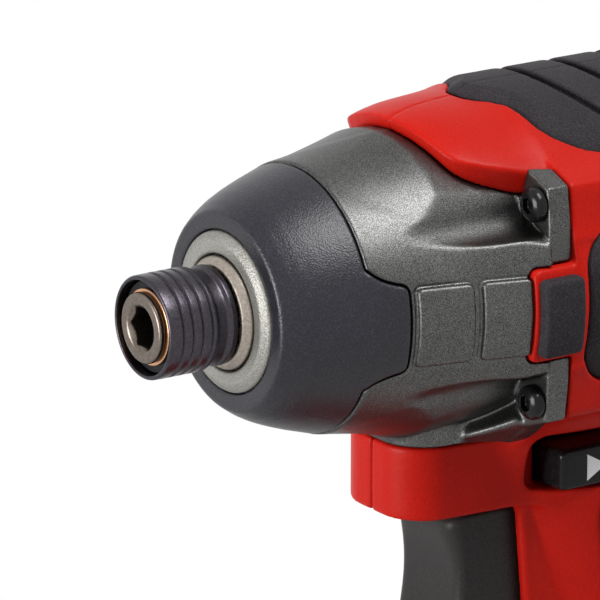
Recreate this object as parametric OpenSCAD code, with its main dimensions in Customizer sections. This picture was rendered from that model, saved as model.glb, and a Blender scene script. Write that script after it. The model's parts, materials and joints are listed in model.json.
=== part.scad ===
// Cordless impact driver with a slide-on battery pack.
// +X points out of the nose, +Y to the user's left and +Z up. The origin lies under
// the middle of the battery, on the face that the tool stands on.

/* [Frame] */
// Height of the spindle axis above the table
axis_height = 200; // [194:1:212]
// Nose face ahead of the middle of the battery
nose_reach = 70; // [66:1:74]

/* [Chuck] */
// Across-flats size of the hexagonal bit socket
socket_flats = 6.5; // [6.4:0.05:6.7]
// Depth of the bit socket
socket_depth = 22; // [18:1:24]
// Diameter of the countersink at the mouth of the socket
socket_mouth_d = 8.2; // [7.8:0.1:8.8]
// Diameter of the anvil under the sleeve
tip_d = 12; // [11.6:0.1:12.4]
// How far the anvil stands ahead of the nose face
tip_reach = 15.6; // [15:0.2:18]
// Diameter of the anvil in its bush
journal_d = 17.4; // [16.8:0.1:18]
// Outside diameter of the chuck sleeve
sleeve_d = 17.6; // [17:0.1:18]
// Length of the chuck sleeve
sleeve_len = 13.6; // [13:0.2:14]
// Travel of the sleeve as it frees the bit
sleeve_travel = 3; // [2.4:0.1:3.2]
// Grooves round the sleeve
sleeve_grooves = 4; // [2:1:4]
// Diameter of the two balls that hold the bit
lock_ball_d = 3.2; // [3:0.1:3.4]

/* [Hammer case] */
// Length of the case from the nose face to the back of its flange
case_len = 51; // [50:0.5:54]
// Diameter of the flange
flange_d = 62.4; // [61:0.2:64]
// Diameter of the case behind the bumper
case_front_d = 46; // [45:0.5:48]
// Diameter of the round boss at the nose
boss_d = 27.4; // [26:0.2:29]
// Diameter of the hole in the nose
mouth_d = 19.9; // [19.6:0.1:21]
// Diameter of the bumper's front face
bumper_face_d = 32.2; // [31.4:0.2:34]
// Diameter of the bumper at its shoulder
bumper_shoulder_d = 41.2; // [39:0.2:42]
// Length of the bumper
bumper_len = 14.4; // [13:0.2:16]
// Thickness of the bumper
bumper_t = 2; // [1.6:0.1:2.4]
// Height of the tabs and pads at the side of the case
pad_h = 14.4; // [12:0.2:16]
// Distance of the case screws from the axis
case_screw_ring = 30.2; // [29.5:0.1:31]
// Angle of the case screws above and below the sides
case_screw_angle = 34.6; // [30:0.2:38]
// Diameter of the case screw heads
case_head_d = 6; // [5.6:0.1:6.6]

/* [Hammer and gears] */
// Diameter of the hammer
hammer_d = 39.6; // [38:0.2:40]
// Length of the hammer body
hammer_len = 14; // [13:0.5:14.5]
// How far the hammer draws back
hammer_travel = 7; // [5:0.5:7.5]
// Diameter of the cam shaft in the hammer
cam_d = 16; // [15:0.2:17]
// Wire of the hammer spring
hammer_wire = 3.2; // [2.8:0.1:3.4]
// Turns of the hammer spring
hammer_turns = 3; // [2.5:0.5:3]
// Gear module
gear_module = 0.9; // [0.88:0.01:0.92]
// Teeth of the sun pinion
sun_teeth = 12; // [12:6:12]
// Teeth of each planet gear
planet_teeth = 15; // [15:3:15]
// Width of the gears
gear_w = 7.4; // [6.8:0.2:8]
// Diameter of the planet pins
planet_pin_d = 4; // [3.6:0.1:4.4]

/* [Motor] */
// Diameter of the stator
stator_d = 50; // [48:0.5:51]
// Length of the stator
stator_len = 24; // [20:0.5:26]
// Diameter of the rotor
rotor_d = 26; // [24:0.5:27]
// Diameter of the motor shaft
motor_shaft_d = 5; // [4.8:0.1:5.4]
// Diameter of the fan
fan_d = 46; // [42:0.5:48]
// Blades of the fan
fan_blades = 11; // [7:2:13]

/* [Housing] */
// Diameter of the barrel
barrel_d = 62; // [61:0.5:64]
// Wall of the barrel
barrel_wall = 2.8; // [2.4:0.1:3.2]
// Brow ahead of the back of the flange
brow_len = 20.8; // [18:0.2:23]
// Underside of the chin below the axis
chin_drop = 39; // [38:0.5:41]
// Chin ahead of the back of the flange
chin_len = 20.6; // [18:0.2:23]
// Width of the chin at its front
chin_w = 22; // [20:0.5:25]
// Thickness of the rubber on the barrel
rubber_t = 2; // [1.6:0.1:2.6]
// How far the rubber stands out of the barrel
rubber_rise = 0.6; // [0.4:0.1:1.2]
// Grooves across the rubber on top
top_grooves = 5; // [3:1:6]

/* [Handle] */
// Depth of the grip from front to back
grip_depth = 41; // [39:0.5:44]
// Width of the grip
grip_w = 33.6; // [32.4:0.2:37]
// Tilt of the grip
grip_tilt = 5.5; // [4:0.5:7]
// Distance of the grip behind the nose face, at the trigger's top
grip_back = 74; // [73:0.5:76]
// Thickness of the rubber on the grip
grip_rubber = 1.4; // [1:0.1:1.8]
// Length of the foot
foot_len = 98; // [94:1:104]
// Width of the foot
foot_w = 70; // [66:1:74]
// Height of the foot
foot_h = 24; // [22:0.5:27]

/* [Trigger and slider] */
// Front of the trigger behind the nose face
trigger_back = 40.5; // [39:0.5:42]
// Width of the trigger
trigger_w = 18; // [16:0.5:19]
// Height of the trigger
trigger_h = 27; // [25:0.5:29]
// Travel of the trigger
trigger_travel = 6; // [4:0.5:6.5]
// How far the direction slider stands out of its well at the end of its travel
slider_stand = 4.6; // [3.6:0.1:5.4]
// Travel of the slider to each side
slider_travel = 3; // [2:0.5:3.5]

/* [Battery] */
// Length of the battery
battery_len = 112; // [108:1:120]
// Width of the battery
battery_w = 74; // [72:1:80]
// Height of the battery under the foot
battery_h = 50; // [48:1:56]
// Diameter of a cell
cell_d = 18.4; // [18:0.1:18.6]
// Length of a cell
cell_len = 65; // [64:0.5:66]
// Travel of the release button
release_travel = 3; // [2:0.5:3.5]

/* [Fits] */
// Radial clearance of turning and sliding shafts
run_gap = 0.05; // [0.03:0.01:0.08]
// Clearance between pieces that stay put
seat_gap = 0.1; // [0.05:0.01:0.15]
// Clearance beside pieces that move
slide_gap = 0.35; // [0.3:0.05:0.4]
// How far a cut overruns the piece that it cuts
over = 1; // [0.5:0.5:2]

/* [Hidden] */
$fn = 96;
soft_fn = 32;
far = 2 * axis_height;

// Radii that several pieces share
tip_r = tip_d / 2;
journal_r = journal_d / 2;
sleeve_r = sleeve_d / 2;
boss_r = boss_d / 2;
mouth_r = mouth_d / 2;
flange_r = flange_d / 2;
case_front_r = case_front_d / 2;
bumper_face_r = bumper_face_d / 2;
barrel_r = barrel_d / 2;
rubber_r = barrel_r + rubber_rise;
rubber_floor_r = rubber_r - rubber_t;
hammer_r = hammer_d / 2;
cam_r = cam_d / 2;
stator_r = stator_d / 2;
rotor_r = rotor_d / 2;
motor_shaft_r = motor_shaft_d / 2;
lock_ball_r = lock_ball_d / 2;

// Stations along the head, measured from the nose face
boss_chamfer = 0.9;
bumper_edge = 0.6;
bumper_shoulder = 5.9;
bumper_front_x = -boss_chamfer;
seam_x = bumper_front_x - bumper_len;
shoulder_x = bumper_front_x - bumper_shoulder;
flange_x = -case_len;
flange_t = 3;
tab_len = 6.2;

// Chuck
sleeve_setback = 0.4;
sleeve_wall = 0.8;
sleeve_front_x = tip_reach - sleeve_setback;
sleeve_back_x = sleeve_front_x - sleeve_len;
journal_x = sleeve_back_x - slide_gap;
release_len = 2.2;
land_len = 2.8;
lock_lead = 0.6;
sleeve_room_r = sleeve_r - sleeve_wall;
chuck_step_x = sleeve_back_x + release_len + land_len;
lock_ball_x = sleeve_back_x + sleeve_travel + lock_lead;
lock_ball_ring = tip_r - lock_ball_r;
clip_t = 0.8;
clip_depth = 0.4;
clip_stand = 1;
clip_setback = 1.2;
clip_x = tip_reach - clip_setback - clip_t;
washer_t = 0.6;
washer_x = clip_x - washer_t;
washer_r = sleeve_room_r - slide_gap;
chuck_wire = 0.7;
chuck_turns = 3;
chuck_coil_r = (tip_r + sleeve_room_r) / 2;
edge_chamfer = 0.6;

// Anvil, bush and hammer
seal_t = 1.2;
seal_x = -boss_chamfer - seat_gap;
bush_wall = 2.5;
bush_r = journal_r + run_gap + bush_wall;
bush_front_x = seal_x - seal_t - seat_gap;
bush_len = 11;
bush_back_x = bush_front_x - bush_len;
thrust_t = 0.6;
wing_front_x = bush_back_x - thrust_t - slide_gap;
wing_t = 7;
wing_back_x = wing_front_x - wing_t;
case_wall = 2.5;
wing_room_r = case_front_r - bumper_t - case_wall;
wing_r = wing_room_r - slide_gap * 2;
wing_w = 9.6;
pilot_r = 4;
pilot_len = 7;
hammer_front_x = wing_back_x - slide_gap * 2;
hammer_back_x = hammer_front_x - hammer_len;
hammer_room_r = hammer_r + slide_gap * 2;
lug_len = wing_t;
lug_angle = 56;
lug_in_r = journal_r + bush_wall * 0.5;
spring_seat = 6;
hammer_coil_r = (cam_r + hammer_r) / 2 - run_gap;
pocket_wall = hammer_wire / 2 + slide_gap;
cam_ball_d = 5;
cam_ball_x = hammer_front_x - cam_ball_d;

// Gears and carrier
pressure_angle = 20;
addendum_share = 0.8;
dedendum_share = 1.05;
backlash = 0.16;
ring_teeth = sun_teeth + 2 * planet_teeth;
planet_count = 3;
planet_ring = gear_module * (sun_teeth + planet_teeth) / 2;
ring_pitch_r = gear_module * ring_teeth / 2;
ring_root_r = ring_pitch_r + gear_module * dedendum_share;
ring_rim = 3.4;
ring_out_r = ring_root_r + ring_rim;
disc_t = 2.5;
disc_edge = 3;
disc_r = planet_ring + planet_pin_d / 2 + disc_edge;
disc_front_x = hammer_back_x - hammer_travel - slide_gap * 3;
planet_front_x = disc_front_x - disc_t - slide_gap;
planet_back_x = planet_front_x - gear_w;
disc_back_x = planet_back_x - slide_gap;
ring_front_x = planet_front_x + slide_gap * 2;
ring_back_x = planet_back_x - slide_gap * 2;
pillar_r = 2.4;
sun_tip_r = gear_module * (sun_teeth / 2 + addendum_share);
hub_bore_r = sun_tip_r + slide_gap;
hub_wall = 2;
hub_r = hub_bore_r + hub_wall;
hub_x = disc_back_x - disc_t;
bearing_w = 5;
bearing_wall = 4.5;
carrier_bearing_r = hub_r + bearing_wall;
carrier_bearing_x = hub_x - slide_gap * 2;

// Gearbox plate and motor
plate_front_x = ring_back_x - seat_gap;
plate_rim = 3.2;
plate_lip = 0.8;
plate_r = ring_out_r + plate_lip;
plate_t = 2;
motor_bearing_r = motor_shaft_r + bearing_wall;
motor_bearing_x = carrier_bearing_x - bearing_w - plate_t - slide_gap;
plate_back_x = motor_bearing_x - bearing_w;
stator_front_x = plate_back_x - plate_t;
stator_back_x = stator_front_x - stator_len;
air_gap = 0.5;
stator_slots = 6;
winding_t = 2.2;
board_t = 1.2;
fan_front_x = stator_back_x - winding_t - board_t - slide_gap * 4;
fan_w = 7;
fan_back_x = fan_front_x - fan_w;
fan_hub_r = 8;
blade_t = 1.2;
rear_bearing_x = fan_back_x - plate_t;
rear_wall = 6;
head_back_x = rear_bearing_x - bearing_w - rear_wall;
nose_round = 11;

// Head of the housing
front_x = flange_x - seat_gap;
bay_r = barrel_r - barrel_wall;
brow_t = 5;
chin_seat = 27.2;
brow_seat_r = flange_r - brow_t;
tongue_len = 8.4;
tongue_t = 3;
tongue_in_r = flange_r - tongue_t;
frame_edge = 0.9;
tongue_shift = -0.8;
channel_r = 5;
ear_t = 4.4;
screw_seat_x = flange_x + ear_t;
screw_r = 1.9;
screw_len = 14;
screw_head_h = 2.4;
boss_len = 15;
pad_rise = 0.6;
scoop_share = 0.848;
scoop_floor_r = flange_r * scoop_share;
scoop_end_x = screw_seat_x + pad_rise;
scoop_angle = 72;
side_panel_setback = 3.4;
side_panel_x = front_x - side_panel_setback;
side_panel_len = 42;
side_panel_top = 12.4;
side_panel_low = -15;
groove_lead = 16.7;
groove_pitch = 10;
groove_bend_r = 34;
groove_w = 1.4;
groove_depth = 0.9;
top_lead = 6.5;
top_front_x = flange_x + top_lead;
vent_count = 5;
vent_w = 2.2;
vent_pitch = 5.2;

// Handle and foot
ceiling_z = axis_height - chin_drop;
foot_z = battery_h + slide_gap;
foot_top_z = foot_z + foot_h;
grip_top_x = nose_reach - grip_back;
neck_rise = 14;
ring_points = 40;
ring_steps = 22;
grip_len = ceiling_z - foot_top_z;
handle_screw_r = 1.7;
handle_head_r = 3.4;
handle_head_h = 2;
handle_boss_r = 4.2;

// Trigger, switch and slider
trigger_front_x = nose_reach - trigger_back;
trigger_top_z = ceiling_z - slide_gap;
trigger_low_z = trigger_top_z - trigger_h;
trigger_len = 18;
trigger_back_x = trigger_front_x - trigger_len;
switch_front_x = trigger_back_x - trigger_travel - slide_gap;
switch_len = 27;
switch_w = 21;
switch_h = 24;
stem_r = 3;
slider_depth = 18;
slider_h = 5.6;
slider_back = 66.5;
slider_x = nose_reach - slider_back;
slider_rise = 6;
slider_z = ceiling_z + slider_rise;
well_floor = 10.4;
slider_len = 2 * (well_floor + slider_stand + slider_travel);
well_len = 26;
well_h = 8.6;
well_rise = 1.6;
well_round = 2.2;
bezel_w = 25;
bezel_len = 9;
bezel_back = 53.2;
bezel_x = nose_reach - bezel_back;
bezel_low = 3;
bezel_round = 3;

// Battery and foot interior
rail_neck_w = 38;
rail_head_w = 46;
rail_neck_h = 5;
rail_head_h = 6;
rail_len = 80;
rail_setback = 8;
rail_back_x = -foot_len / 2 + rail_setback;
rail_top_z = battery_h + rail_neck_h + rail_head_h;
battery_wall = 2.4;
battery_round = 9;
battery_split_z = battery_h / 2;
cell_z = battery_wall + cell_d / 2 + seat_gap;
cell_pitch = cell_d + seat_gap * 2;
pack_screw_inset = 5.4;
pack_screw_side = 12.6;
cell_room = battery_len - 2 * (pack_screw_inset + handle_head_r + slide_gap);
cell_count = floor(cell_room / cell_pitch);
deck_t = 3;
board_lift = 4;
battery_board_z = battery_wall + cell_d + board_lift;
battery_board_t = 1.6;
contact_w = 0.8;
contact_pitch = 8;
contact_len = 14;
release_w = 26;
release_t = 7;
release_h = 15;
release_drop = 19;
release_low_z = battery_h - release_drop;
release_coil_r = 2;
release_wire = 0.7;
release_turns = 2.5;
release_room = release_travel + release_wire * (release_turns + 1);
module_h = 4.6;

// Moves children from the head's own frame, whose origin is the nose face
module head() {
  translate([nose_reach, 0, axis_height]) children();
}

// Lays children along the head, so that +Z becomes +X
module lay() {
  rotate([0, 90, 0]) children();
}

// Turns an outline of [place along X, radius] about the spindle axis
module turned(outline) {
  lay() rotate_extrude() polygon([for (p = outline) [p[1], p[0]]]);
}

// Ring of the given radii between two places along X
module ring(from_x, to_x, in_r, out_r) {
  turned([[from_x, in_r], [from_x, out_r], [to_x, out_r], [to_x, in_r]]);
}

// Round bar between two places along X
module bar(from_x, to_x, radius) {
  translate([min(from_x, to_x), 0, 0]) lay() cylinder(h = abs(to_x - from_x), r = radius);
}

// Carries an outline drawn in X and Z through the part, from side to side
module across(width) {
  rotate([90, 0, 0]) linear_extrude(width, center = true) children();
}

// Box between two corners
module block(low, high) {
  translate(low) cube(high - low);
}

// Outline with an edge of [place along X, distance from the middle] on both sides
function both_sides(edge) = concat(edge, [for (i = [len(edge) - 1:-1:0]) [edge[i][0], -edge[i][1]]]);

// Rectangle with round corners, between two corners
module round_box(low, high, radius) {
  translate(low + [radius, radius])
    offset(r = radius, $fn = soft_fn) square(high - low - 2 * [radius, radius]);
}

// One side of the split plane: 1 is left, -1 is right
module half(side) {
  intersection() {
    children();
    translate([-far, side > 0 ? 0 : -far, -far]) cube([2 * far, far, 2 * far]);
  }
}

// Smooth curve through stations of [place, value]
function slope(table, i) =
  let (a = max(i - 1, 0), b = min(i + 1, len(table) - 1))
  (table[b][1] - table[a][1]) / (table[b][0] - table[a][0]);
function curve(table, place, i = 0) =
  i < len(table) - 2 && place > table[i + 1][0] ? curve(table, place, i + 1) :
  let (
    step = table[i + 1][0] - table[i][0],
    t = (place - table[i][0]) / step,
    a = slope(table, i) * step,
    b = slope(table, i + 1) * step
  )
  table[i][1] * (2 * t ^ 3 - 3 * t ^ 2 + 1) + a * (t ^ 3 - 2 * t ^ 2 + t)
    + table[i + 1][1] * (3 * t ^ 2 - 2 * t ^ 3) + b * (t ^ 3 - t ^ 2);

// Skin over closed rings of points. Each end is a strip between the ring's two halves, so
// that a ring may also be a bent band
module skin(rings) {
  count = len(rings[0]);
  last = len(rings) - 1;
  sides = [
    for (j = [0:last - 1], i = [0:count - 1])
      let (a = j * count + i, b = j * count + (i + 1) % count)
      each [[a, a + count, b], [b, a + count, b + count]]
  ];
  low = [for (i = [0:count / 2 - 2]) [i, i + 1, count - 2 - i, count - 1 - i]];
  high = [for (face = low) [for (k = [3:-1:0]) last * count + face[k]]];
  polyhedron([for (r = rings) each r], concat(low, sides, high));
}

// Round wire wound along X, as one unbroken tube
wire_sides = 6;
turn_rings = 12;
function coil_rings(from_x, to_x, radius, wire, turns) = [
  for (j = [0:turns * turn_rings])
    let (a = 360 * j / turn_rings, x = from_x + (to_x - from_x) * j / (turns * turn_rings))
    [for (i = [0:wire_sides - 1])
      let (b = -360 * i / wire_sides, r = radius + wire / 2 * cos(b))
      [x + wire / 2 * sin(b), r * cos(a), r * sin(a)]]
];
module coil(from_x, to_x, radius, wire, turns) {
  echo(least_gap_of_wire = abs(to_x - from_x) / turns - wire);
  skin(to_x > from_x
    ? coil_rings(from_x, to_x, radius, wire, turns)
    : [for (r = coil_rings(from_x, to_x, radius, wire, turns)) [for (i = [len(r) - 1:-1:0]) r[i]]]);
}

// Anvil, sleeve and the pieces that hold the bit

module anvil() {
  color("silver") head() difference() {
    union() {
      turned([
        [wing_back_x, 0], [wing_back_x, journal_r], [journal_x, journal_r], [journal_x, tip_r],
        [tip_reach - edge_chamfer, tip_r], [tip_reach, tip_r - edge_chamfer], [tip_reach, 0]
      ]);
      intersection() {
        bar(wing_back_x, wing_front_x, wing_r);
        block([wing_back_x, -wing_r, -wing_w / 2], [wing_front_x, wing_r, wing_w / 2]);
      }
    }
    translate([tip_reach - socket_depth, 0, 0])
      lay() cylinder(h = socket_depth + over, d = socket_flats / cos(30), $fn = 6);
    turned([
      [tip_reach - socket_mouth_d / 2, 0], [tip_reach, socket_mouth_d / 2],
      [tip_reach + over, socket_mouth_d / 2], [tip_reach + over, 0]
    ]);
    ring(clip_x, clip_x + clip_t, tip_r - clip_depth, tip_r + over);
    for (turn = [90, 270]) translate([lock_ball_x, 0, 0])
      rotate([turn, 0, 0]) cylinder(h = tip_r + over, r = lock_ball_r + run_gap);
    bar(wing_back_x - over, wing_back_x + pilot_len, pilot_r + run_gap);
  }
}

module lock_balls() {
  color("lightgray") head() for (side = [-1, 1])
    translate([lock_ball_x, side * lock_ball_ring, 0]) sphere(r = lock_ball_r - run_gap / 2, $fn = soft_fn);
}

module sleeve_washer() {
  color("dimgray") head() ring(washer_x, clip_x - run_gap, tip_r + run_gap, washer_r);
}

module retaining_ring() {
  color("peru") head()
    ring(clip_x + run_gap, clip_x + clip_t - run_gap, tip_r - clip_depth + run_gap, tip_r + clip_stand);
}

module sleeve_spring() {
  color("gray") head() coil(
    chuck_step_x + chuck_wire, washer_x - chuck_wire, chuck_coil_r, chuck_wire, chuck_turns);
}

groove_share = 0.5;
sleeve_groove_pitch = sleeve_len * groove_share / sleeve_grooves;
sleeve_groove_depth = 0.45;
waist_depth = 0.6;
module chuck_sleeve() {
  color("#2b2830") head() difference() {
    turned([
      [sleeve_back_x, sleeve_r - 2 * sleeve_groove_depth],
      [sleeve_back_x + edge_chamfer, sleeve_r - sleeve_groove_depth],
      [sleeve_back_x + release_len, sleeve_r - sleeve_groove_depth],
      [sleeve_back_x + release_len + edge_chamfer, sleeve_r - waist_depth],
      [chuck_step_x, sleeve_r - waist_depth], [chuck_step_x + edge_chamfer, sleeve_r],
      [sleeve_front_x - edge_chamfer, sleeve_r], [sleeve_front_x, sleeve_r - edge_chamfer],
      [sleeve_front_x, sleeve_room_r], [chuck_step_x, sleeve_room_r], [chuck_step_x, tip_r + run_gap],
      [sleeve_back_x + release_len, tip_r + run_gap],
      [sleeve_back_x + release_len - edge_chamfer, tip_r + clip_stand],
      [sleeve_back_x, tip_r + clip_stand]
    ]);
    for (i = [1:sleeve_grooves]) let (x = sleeve_front_x - edge_chamfer - i * sleeve_groove_pitch)
      turned([
        [x, sleeve_r - sleeve_groove_depth], [x + sleeve_groove_depth, sleeve_r + run_gap],
        [x + sleeve_groove_depth, sleeve_r + over], [x - sleeve_groove_depth, sleeve_r + over],
        [x - sleeve_groove_depth, sleeve_r + run_gap]
      ]);
  }
}

module nose_seal() {
  color("#202020") head()
    ring(seal_x - seal_t, seal_x, journal_r + slide_gap, mouth_r - seat_gap);
}

module anvil_bush() {
  color("darkgoldenrod") head() ring(bush_back_x, bush_front_x, journal_r + run_gap, bush_r);
}

module thrust_washer() {
  color("gray") head()
    ring(bush_back_x - seat_gap - thrust_t, bush_back_x - seat_gap, journal_r + slide_gap,
      bush_r + bush_wall);
}

// Hammer case, bumper and their screws

flare_power = 1.25;
flare_steps = 8;
flare_end_x = flange_x + flange_t;
function flare_r(x) = case_front_r
  + (flange_r - case_front_r) * ((seam_x - x) / (seam_x - flare_end_x)) ^ flare_power;
flare_places = [for (i = [0:flare_steps]) seam_x + (flare_end_x - seam_x) * i / flare_steps];
function case_skin(rise) = concat(
  [for (x = flare_places) [x, flare_r(x) + rise]], [[flange_x, flange_r + rise]]);

// Outside of the bumper, moved inwards by a depth
function bumper_skin(depth) = [
  [bumper_front_x - depth, bumper_face_r - depth * 0.3],
  [bumper_front_x - bumper_edge - depth, bumper_face_r + bumper_edge * 1.6 - depth * 0.5],
  [shoulder_x - depth * 0.5, bumper_shoulder_d / 2 - depth * 0.85],
  [seam_x, case_front_r - depth]
];

module side_outline(low_x, high_x, low_z, high_z, radius) {
  across(far) round_box([low_x, low_z], [high_x, high_z], radius);
}

// Ears round the case screws, seen from the nose: shares of the flange's radius
ear_shares = [[0.5, 0.32], [0.91, 0.327], [0.885, 0.65], [0.705, 0.72], [0.5, 0.72]];
ear_plan = [for (s = ear_shares) flange_r * s];
ear_out_r = norm(ear_plan[2]);
module ears(from_x, to_x) {
  at_corners() run(from_x, to_x) polygon(ear_plan);
}

// Four corners of the head, above and below each side
module at_corners() {
  for (y = [0, 1], z = [0, 1]) mirror([0, y, 0]) mirror([0, 0, z]) children();
}
module wedges(from_x, to_x, low_angle, high_angle) {
  at_corners() run(from_x, to_x) polygon([
    [0, 0], [far * cos(low_angle), far * sin(low_angle)], [far * cos(high_angle), far * sin(high_angle)]
  ]);
}

// Place of each screw that holds the case, looked at from the nose
module at_case_screws() {
  for (side = [0, 180], tilt = [-1, 1])
    rotate([side + tilt * case_screw_angle, 0, 0]) translate([0, case_screw_ring, 0]) children();
}

// Plan of the space that the brow takes: shares of its length and of the flange's radius
brow_tip_x = flange_x + brow_len;
brow_low_share = 0.58;
brow_shares = [
  [1, 0], [0.95, 0.08], [0.885, 0.167], [0.837, 0.29], [0.808, 0.378], [0.76, 0.468], [0.697, 0.532],
  [0.625, 0.558], [0.48, 0.596], [0.337, 0.628], [0.226, 0.663], [-0.08, 0.69]
];
brow_edge = [for (s = brow_shares) [flange_x + brow_len * s[0], flange_r * s[1]]];
module brow_space(gap) {
  difference() {
    translate([0, 0, flange_r * brow_low_share - gap]) linear_extrude(far) offset(delta = gap)
      polygon(both_sides(brow_edge));
    bar(-far, far, brow_seat_r + seat_gap - gap);
  }
}

// Outside of the brow
brow_tip_r = flange_r * 0.91;
brow_bend_r = flange_r * 0.96;
brow_bend_x = flange_x + brow_len * 0.5;

// Side view of the tongue that reaches into the flange
module tongue_space(gap) {
  difference() {
    side_outline(flange_x - over, flange_x + tongue_len + gap, tongue_shift - pad_h / 2 - frame_edge - gap,
      tongue_shift + pad_h / 2 + frame_edge + gap, frame_edge + gap);
    bar(-far, far, tongue_in_r - gap);
  }
}

pad_split = 1.8;
pad_start_x = seam_x - tab_len - pad_split;
pad_end_x = flange_x + tongue_len + pad_split / 2;
pad_room = (pad_start_x - pad_end_x - pad_split) / 2;
pad_round = 1.8;

// Chin seen from above. It widens towards the handle
chin_round = 7.5;
chin_flare = 3.2;
chin_front_x = flange_x + chin_len;
chin_back_x = front_x - grip_depth / 2;
module chin_plan() {
  offset(r = chin_round, $fn = soft_fn) polygon([
    [chin_front_x - chin_round, chin_w / 2 - chin_round],
    [chin_front_x - chin_round, chin_round - chin_w / 2],
    [chin_back_x, chin_round - chin_w / 2 - chin_flare],
    [chin_back_x, chin_w / 2 + chin_flare - chin_round]
  ]);
}

// Ledge of the case that rests on the chin
module case_ledge() {
  difference() {
    intersection() {
      translate([0, 0, -chin_seat]) linear_extrude(chin_seat / 2) chin_plan();
      block([flange_x, -far, -far], [0, far, 0]);
    }
    bar(flange_x - over, 0, ring_out_r + case_wall / 2);
  }
}

// Hollows ahead of the flange: above each side up to the brow, and right round below
module case_scoops() {
  intersection() {
    ring(scoop_end_x, seam_x, scoop_floor_r, far / 2);
    union() {
      wedges(scoop_end_x, seam_x, case_screw_angle, scoop_angle);
      run(scoop_end_x, seam_x) polygon([
        [0, 0], [far * cos(case_screw_angle), -far * sin(case_screw_angle)],
        [0, -far], [-far * cos(case_screw_angle), -far * sin(case_screw_angle)]
      ]);
    }
  }
}

module case_shell() {
  difference() {
    union() {
      turned(concat(
        [
          [0, mouth_r], [0, boss_r - boss_chamfer], [-boss_chamfer, boss_r],
          [bumper_front_x - bumper_t - seat_gap, boss_r]
        ],
        bumper_skin(bumper_t + seat_gap), case_skin(0),
        [
          [flange_x, ring_out_r + seat_gap], [ring_front_x + seat_gap, ring_out_r + seat_gap],
          [ring_front_x + seat_gap, hammer_room_r], [hammer_front_x + slide_gap, hammer_room_r],
          [hammer_front_x + slide_gap, wing_room_r], [bush_back_x - thrust_t - seat_gap, wing_room_r],
          [bush_back_x - thrust_t - seat_gap, bush_r + bush_wall + seat_gap],
          [bush_back_x, bush_r + bush_wall + seat_gap],
          [bush_back_x, bush_r + run_gap], [bush_front_x + run_gap, bush_r + run_gap],
          [bush_front_x + run_gap, mouth_r]
        ]
      ));
      intersection() {
        turned(concat(case_skin(pad_rise),
          [[flange_x, hammer_room_r + case_wall / 2], [seam_x, hammer_room_r + case_wall / 2]]));
        for (i = [0, 1]) let (x = pad_start_x - i * (pad_room + pad_split))
          side_outline(x - pad_room, x, -pad_h / 2, pad_h / 2, pad_round);
      }
      difference() {
        ears(flange_x, screw_seat_x);
        bar(flange_x - over, 0, ring_out_r + case_wall / 2);
      }
    }
    case_scoops();
  }
}

module hammer_case() {
  color("#55565a") head() difference() {
    union() {
      case_shell();
      case_ledge();
    }
    block([flange_x - over, -far, -far], [seam_x, far, -chin_seat]);
    at_case_screws() {
      bar(screw_seat_x, 0, channel_r);
      bar(flange_x - over, screw_seat_x + over, screw_r + slide_gap);
    }
    tab_space(seat_gap);
    brow_space(seat_gap * 2);
    tongue_space(seat_gap * 2);
  }
}

// Side view of a tab: it widens where it leaves the bumper
tab_round = 1.6;
tab_root = 3.2;
tab_shares = [[-1, 1], [0, 1], [0.12, 0.5], [0.36, 0.12], [0.6, 0], [1, 0]];
tab_edge = [for (s = tab_shares) [seam_x - tab_len * s[0], pad_h / 2 + tab_root * s[1]]];

// Room for the bumper's tabs, in the skin of the case
module tab_space(gap) {
  difference() {
    across(far) offset(r = tab_round + gap, $fn = soft_fn) offset(delta = -tab_round)
      polygon(both_sides(tab_edge));
    turned(concat(
      [[over, 0], [over, boss_r]], bumper_skin(bumper_t + gap),
      [for (x = flare_places) [x, flare_r(x) - bumper_t - gap]], [[flange_x, 0]]
    ));
  }
}

module nose_bumper() {
  color("#232327") head() {
    turned(concat(
      [[bumper_front_x, boss_r + seat_gap]], bumper_skin(0),
      [for (i = [3:-1:0]) bumper_skin(bumper_t)[i]],
      [[bumper_front_x - bumper_t, boss_r + seat_gap]]
    ));
    intersection() {
      tab_space(0);
      turned(concat(
        [[seam_x + seat_gap, 0]], [[seam_x + seat_gap, case_front_r + pad_rise / 2]],
        [for (x = flare_places) [x, flare_r(x) + pad_rise / 2]], [[flange_x, 0]]
      ));
    }
  }
}

module case_screws() {
  color("#1c1c1e") head() at_case_screws() {
    difference() {
      union() {
        translate([screw_seat_x + run_gap, 0, 0]) lay()
          cylinder(h = screw_head_h, r1 = case_head_d / 2, r2 = case_head_d / 2 - edge_chamfer);
        bar(screw_seat_x + run_gap - screw_len, screw_seat_x + screw_head_h / 2, screw_r);
      }
      translate([screw_seat_x + screw_head_h / 2, 0, 0]) lay()
        cylinder(h = screw_head_h, r = screw_r * 0.8, $fn = 6);
    }
  }
}

// Gears

function involute(angle) = tan(angle) * 180 / PI - angle;
function tooth_half(teeth, radius, thin) =
  90 / teeth + involute(pressure_angle)
    - involute(acos(min(1, gear_module * teeth / 2 * cos(pressure_angle) / radius)))
    - thin / (gear_module * teeth) * 180 / PI;
flank_steps = 3;
module gear_outline(teeth, tip, root, thin) {
  start_r = max(root, gear_module * teeth / 2 * cos(pressure_angle));
  flank = [for (i = [0:flank_steps]) start_r + (tip - start_r) * i / flank_steps];
  tooth = concat(
    [[root, -tooth_half(teeth, start_r, thin)]],
    [for (r = flank) [r, -tooth_half(teeth, r, thin)]],
    [for (i = [flank_steps:-1:0]) [flank[i], tooth_half(teeth, flank[i], thin)]],
    [[root, tooth_half(teeth, start_r, thin)]]
  );
  polygon([
    for (k = [0:teeth - 1], p = tooth)
      let (a = p[1] + 360 * k / teeth) [p[0] * cos(a), p[0] * sin(a)]
  ]);
}
function tip_of(teeth) = gear_module * (teeth / 2 + addendum_share);
function root_of(teeth) = gear_module * (teeth / 2 - dedendum_share);

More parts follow.
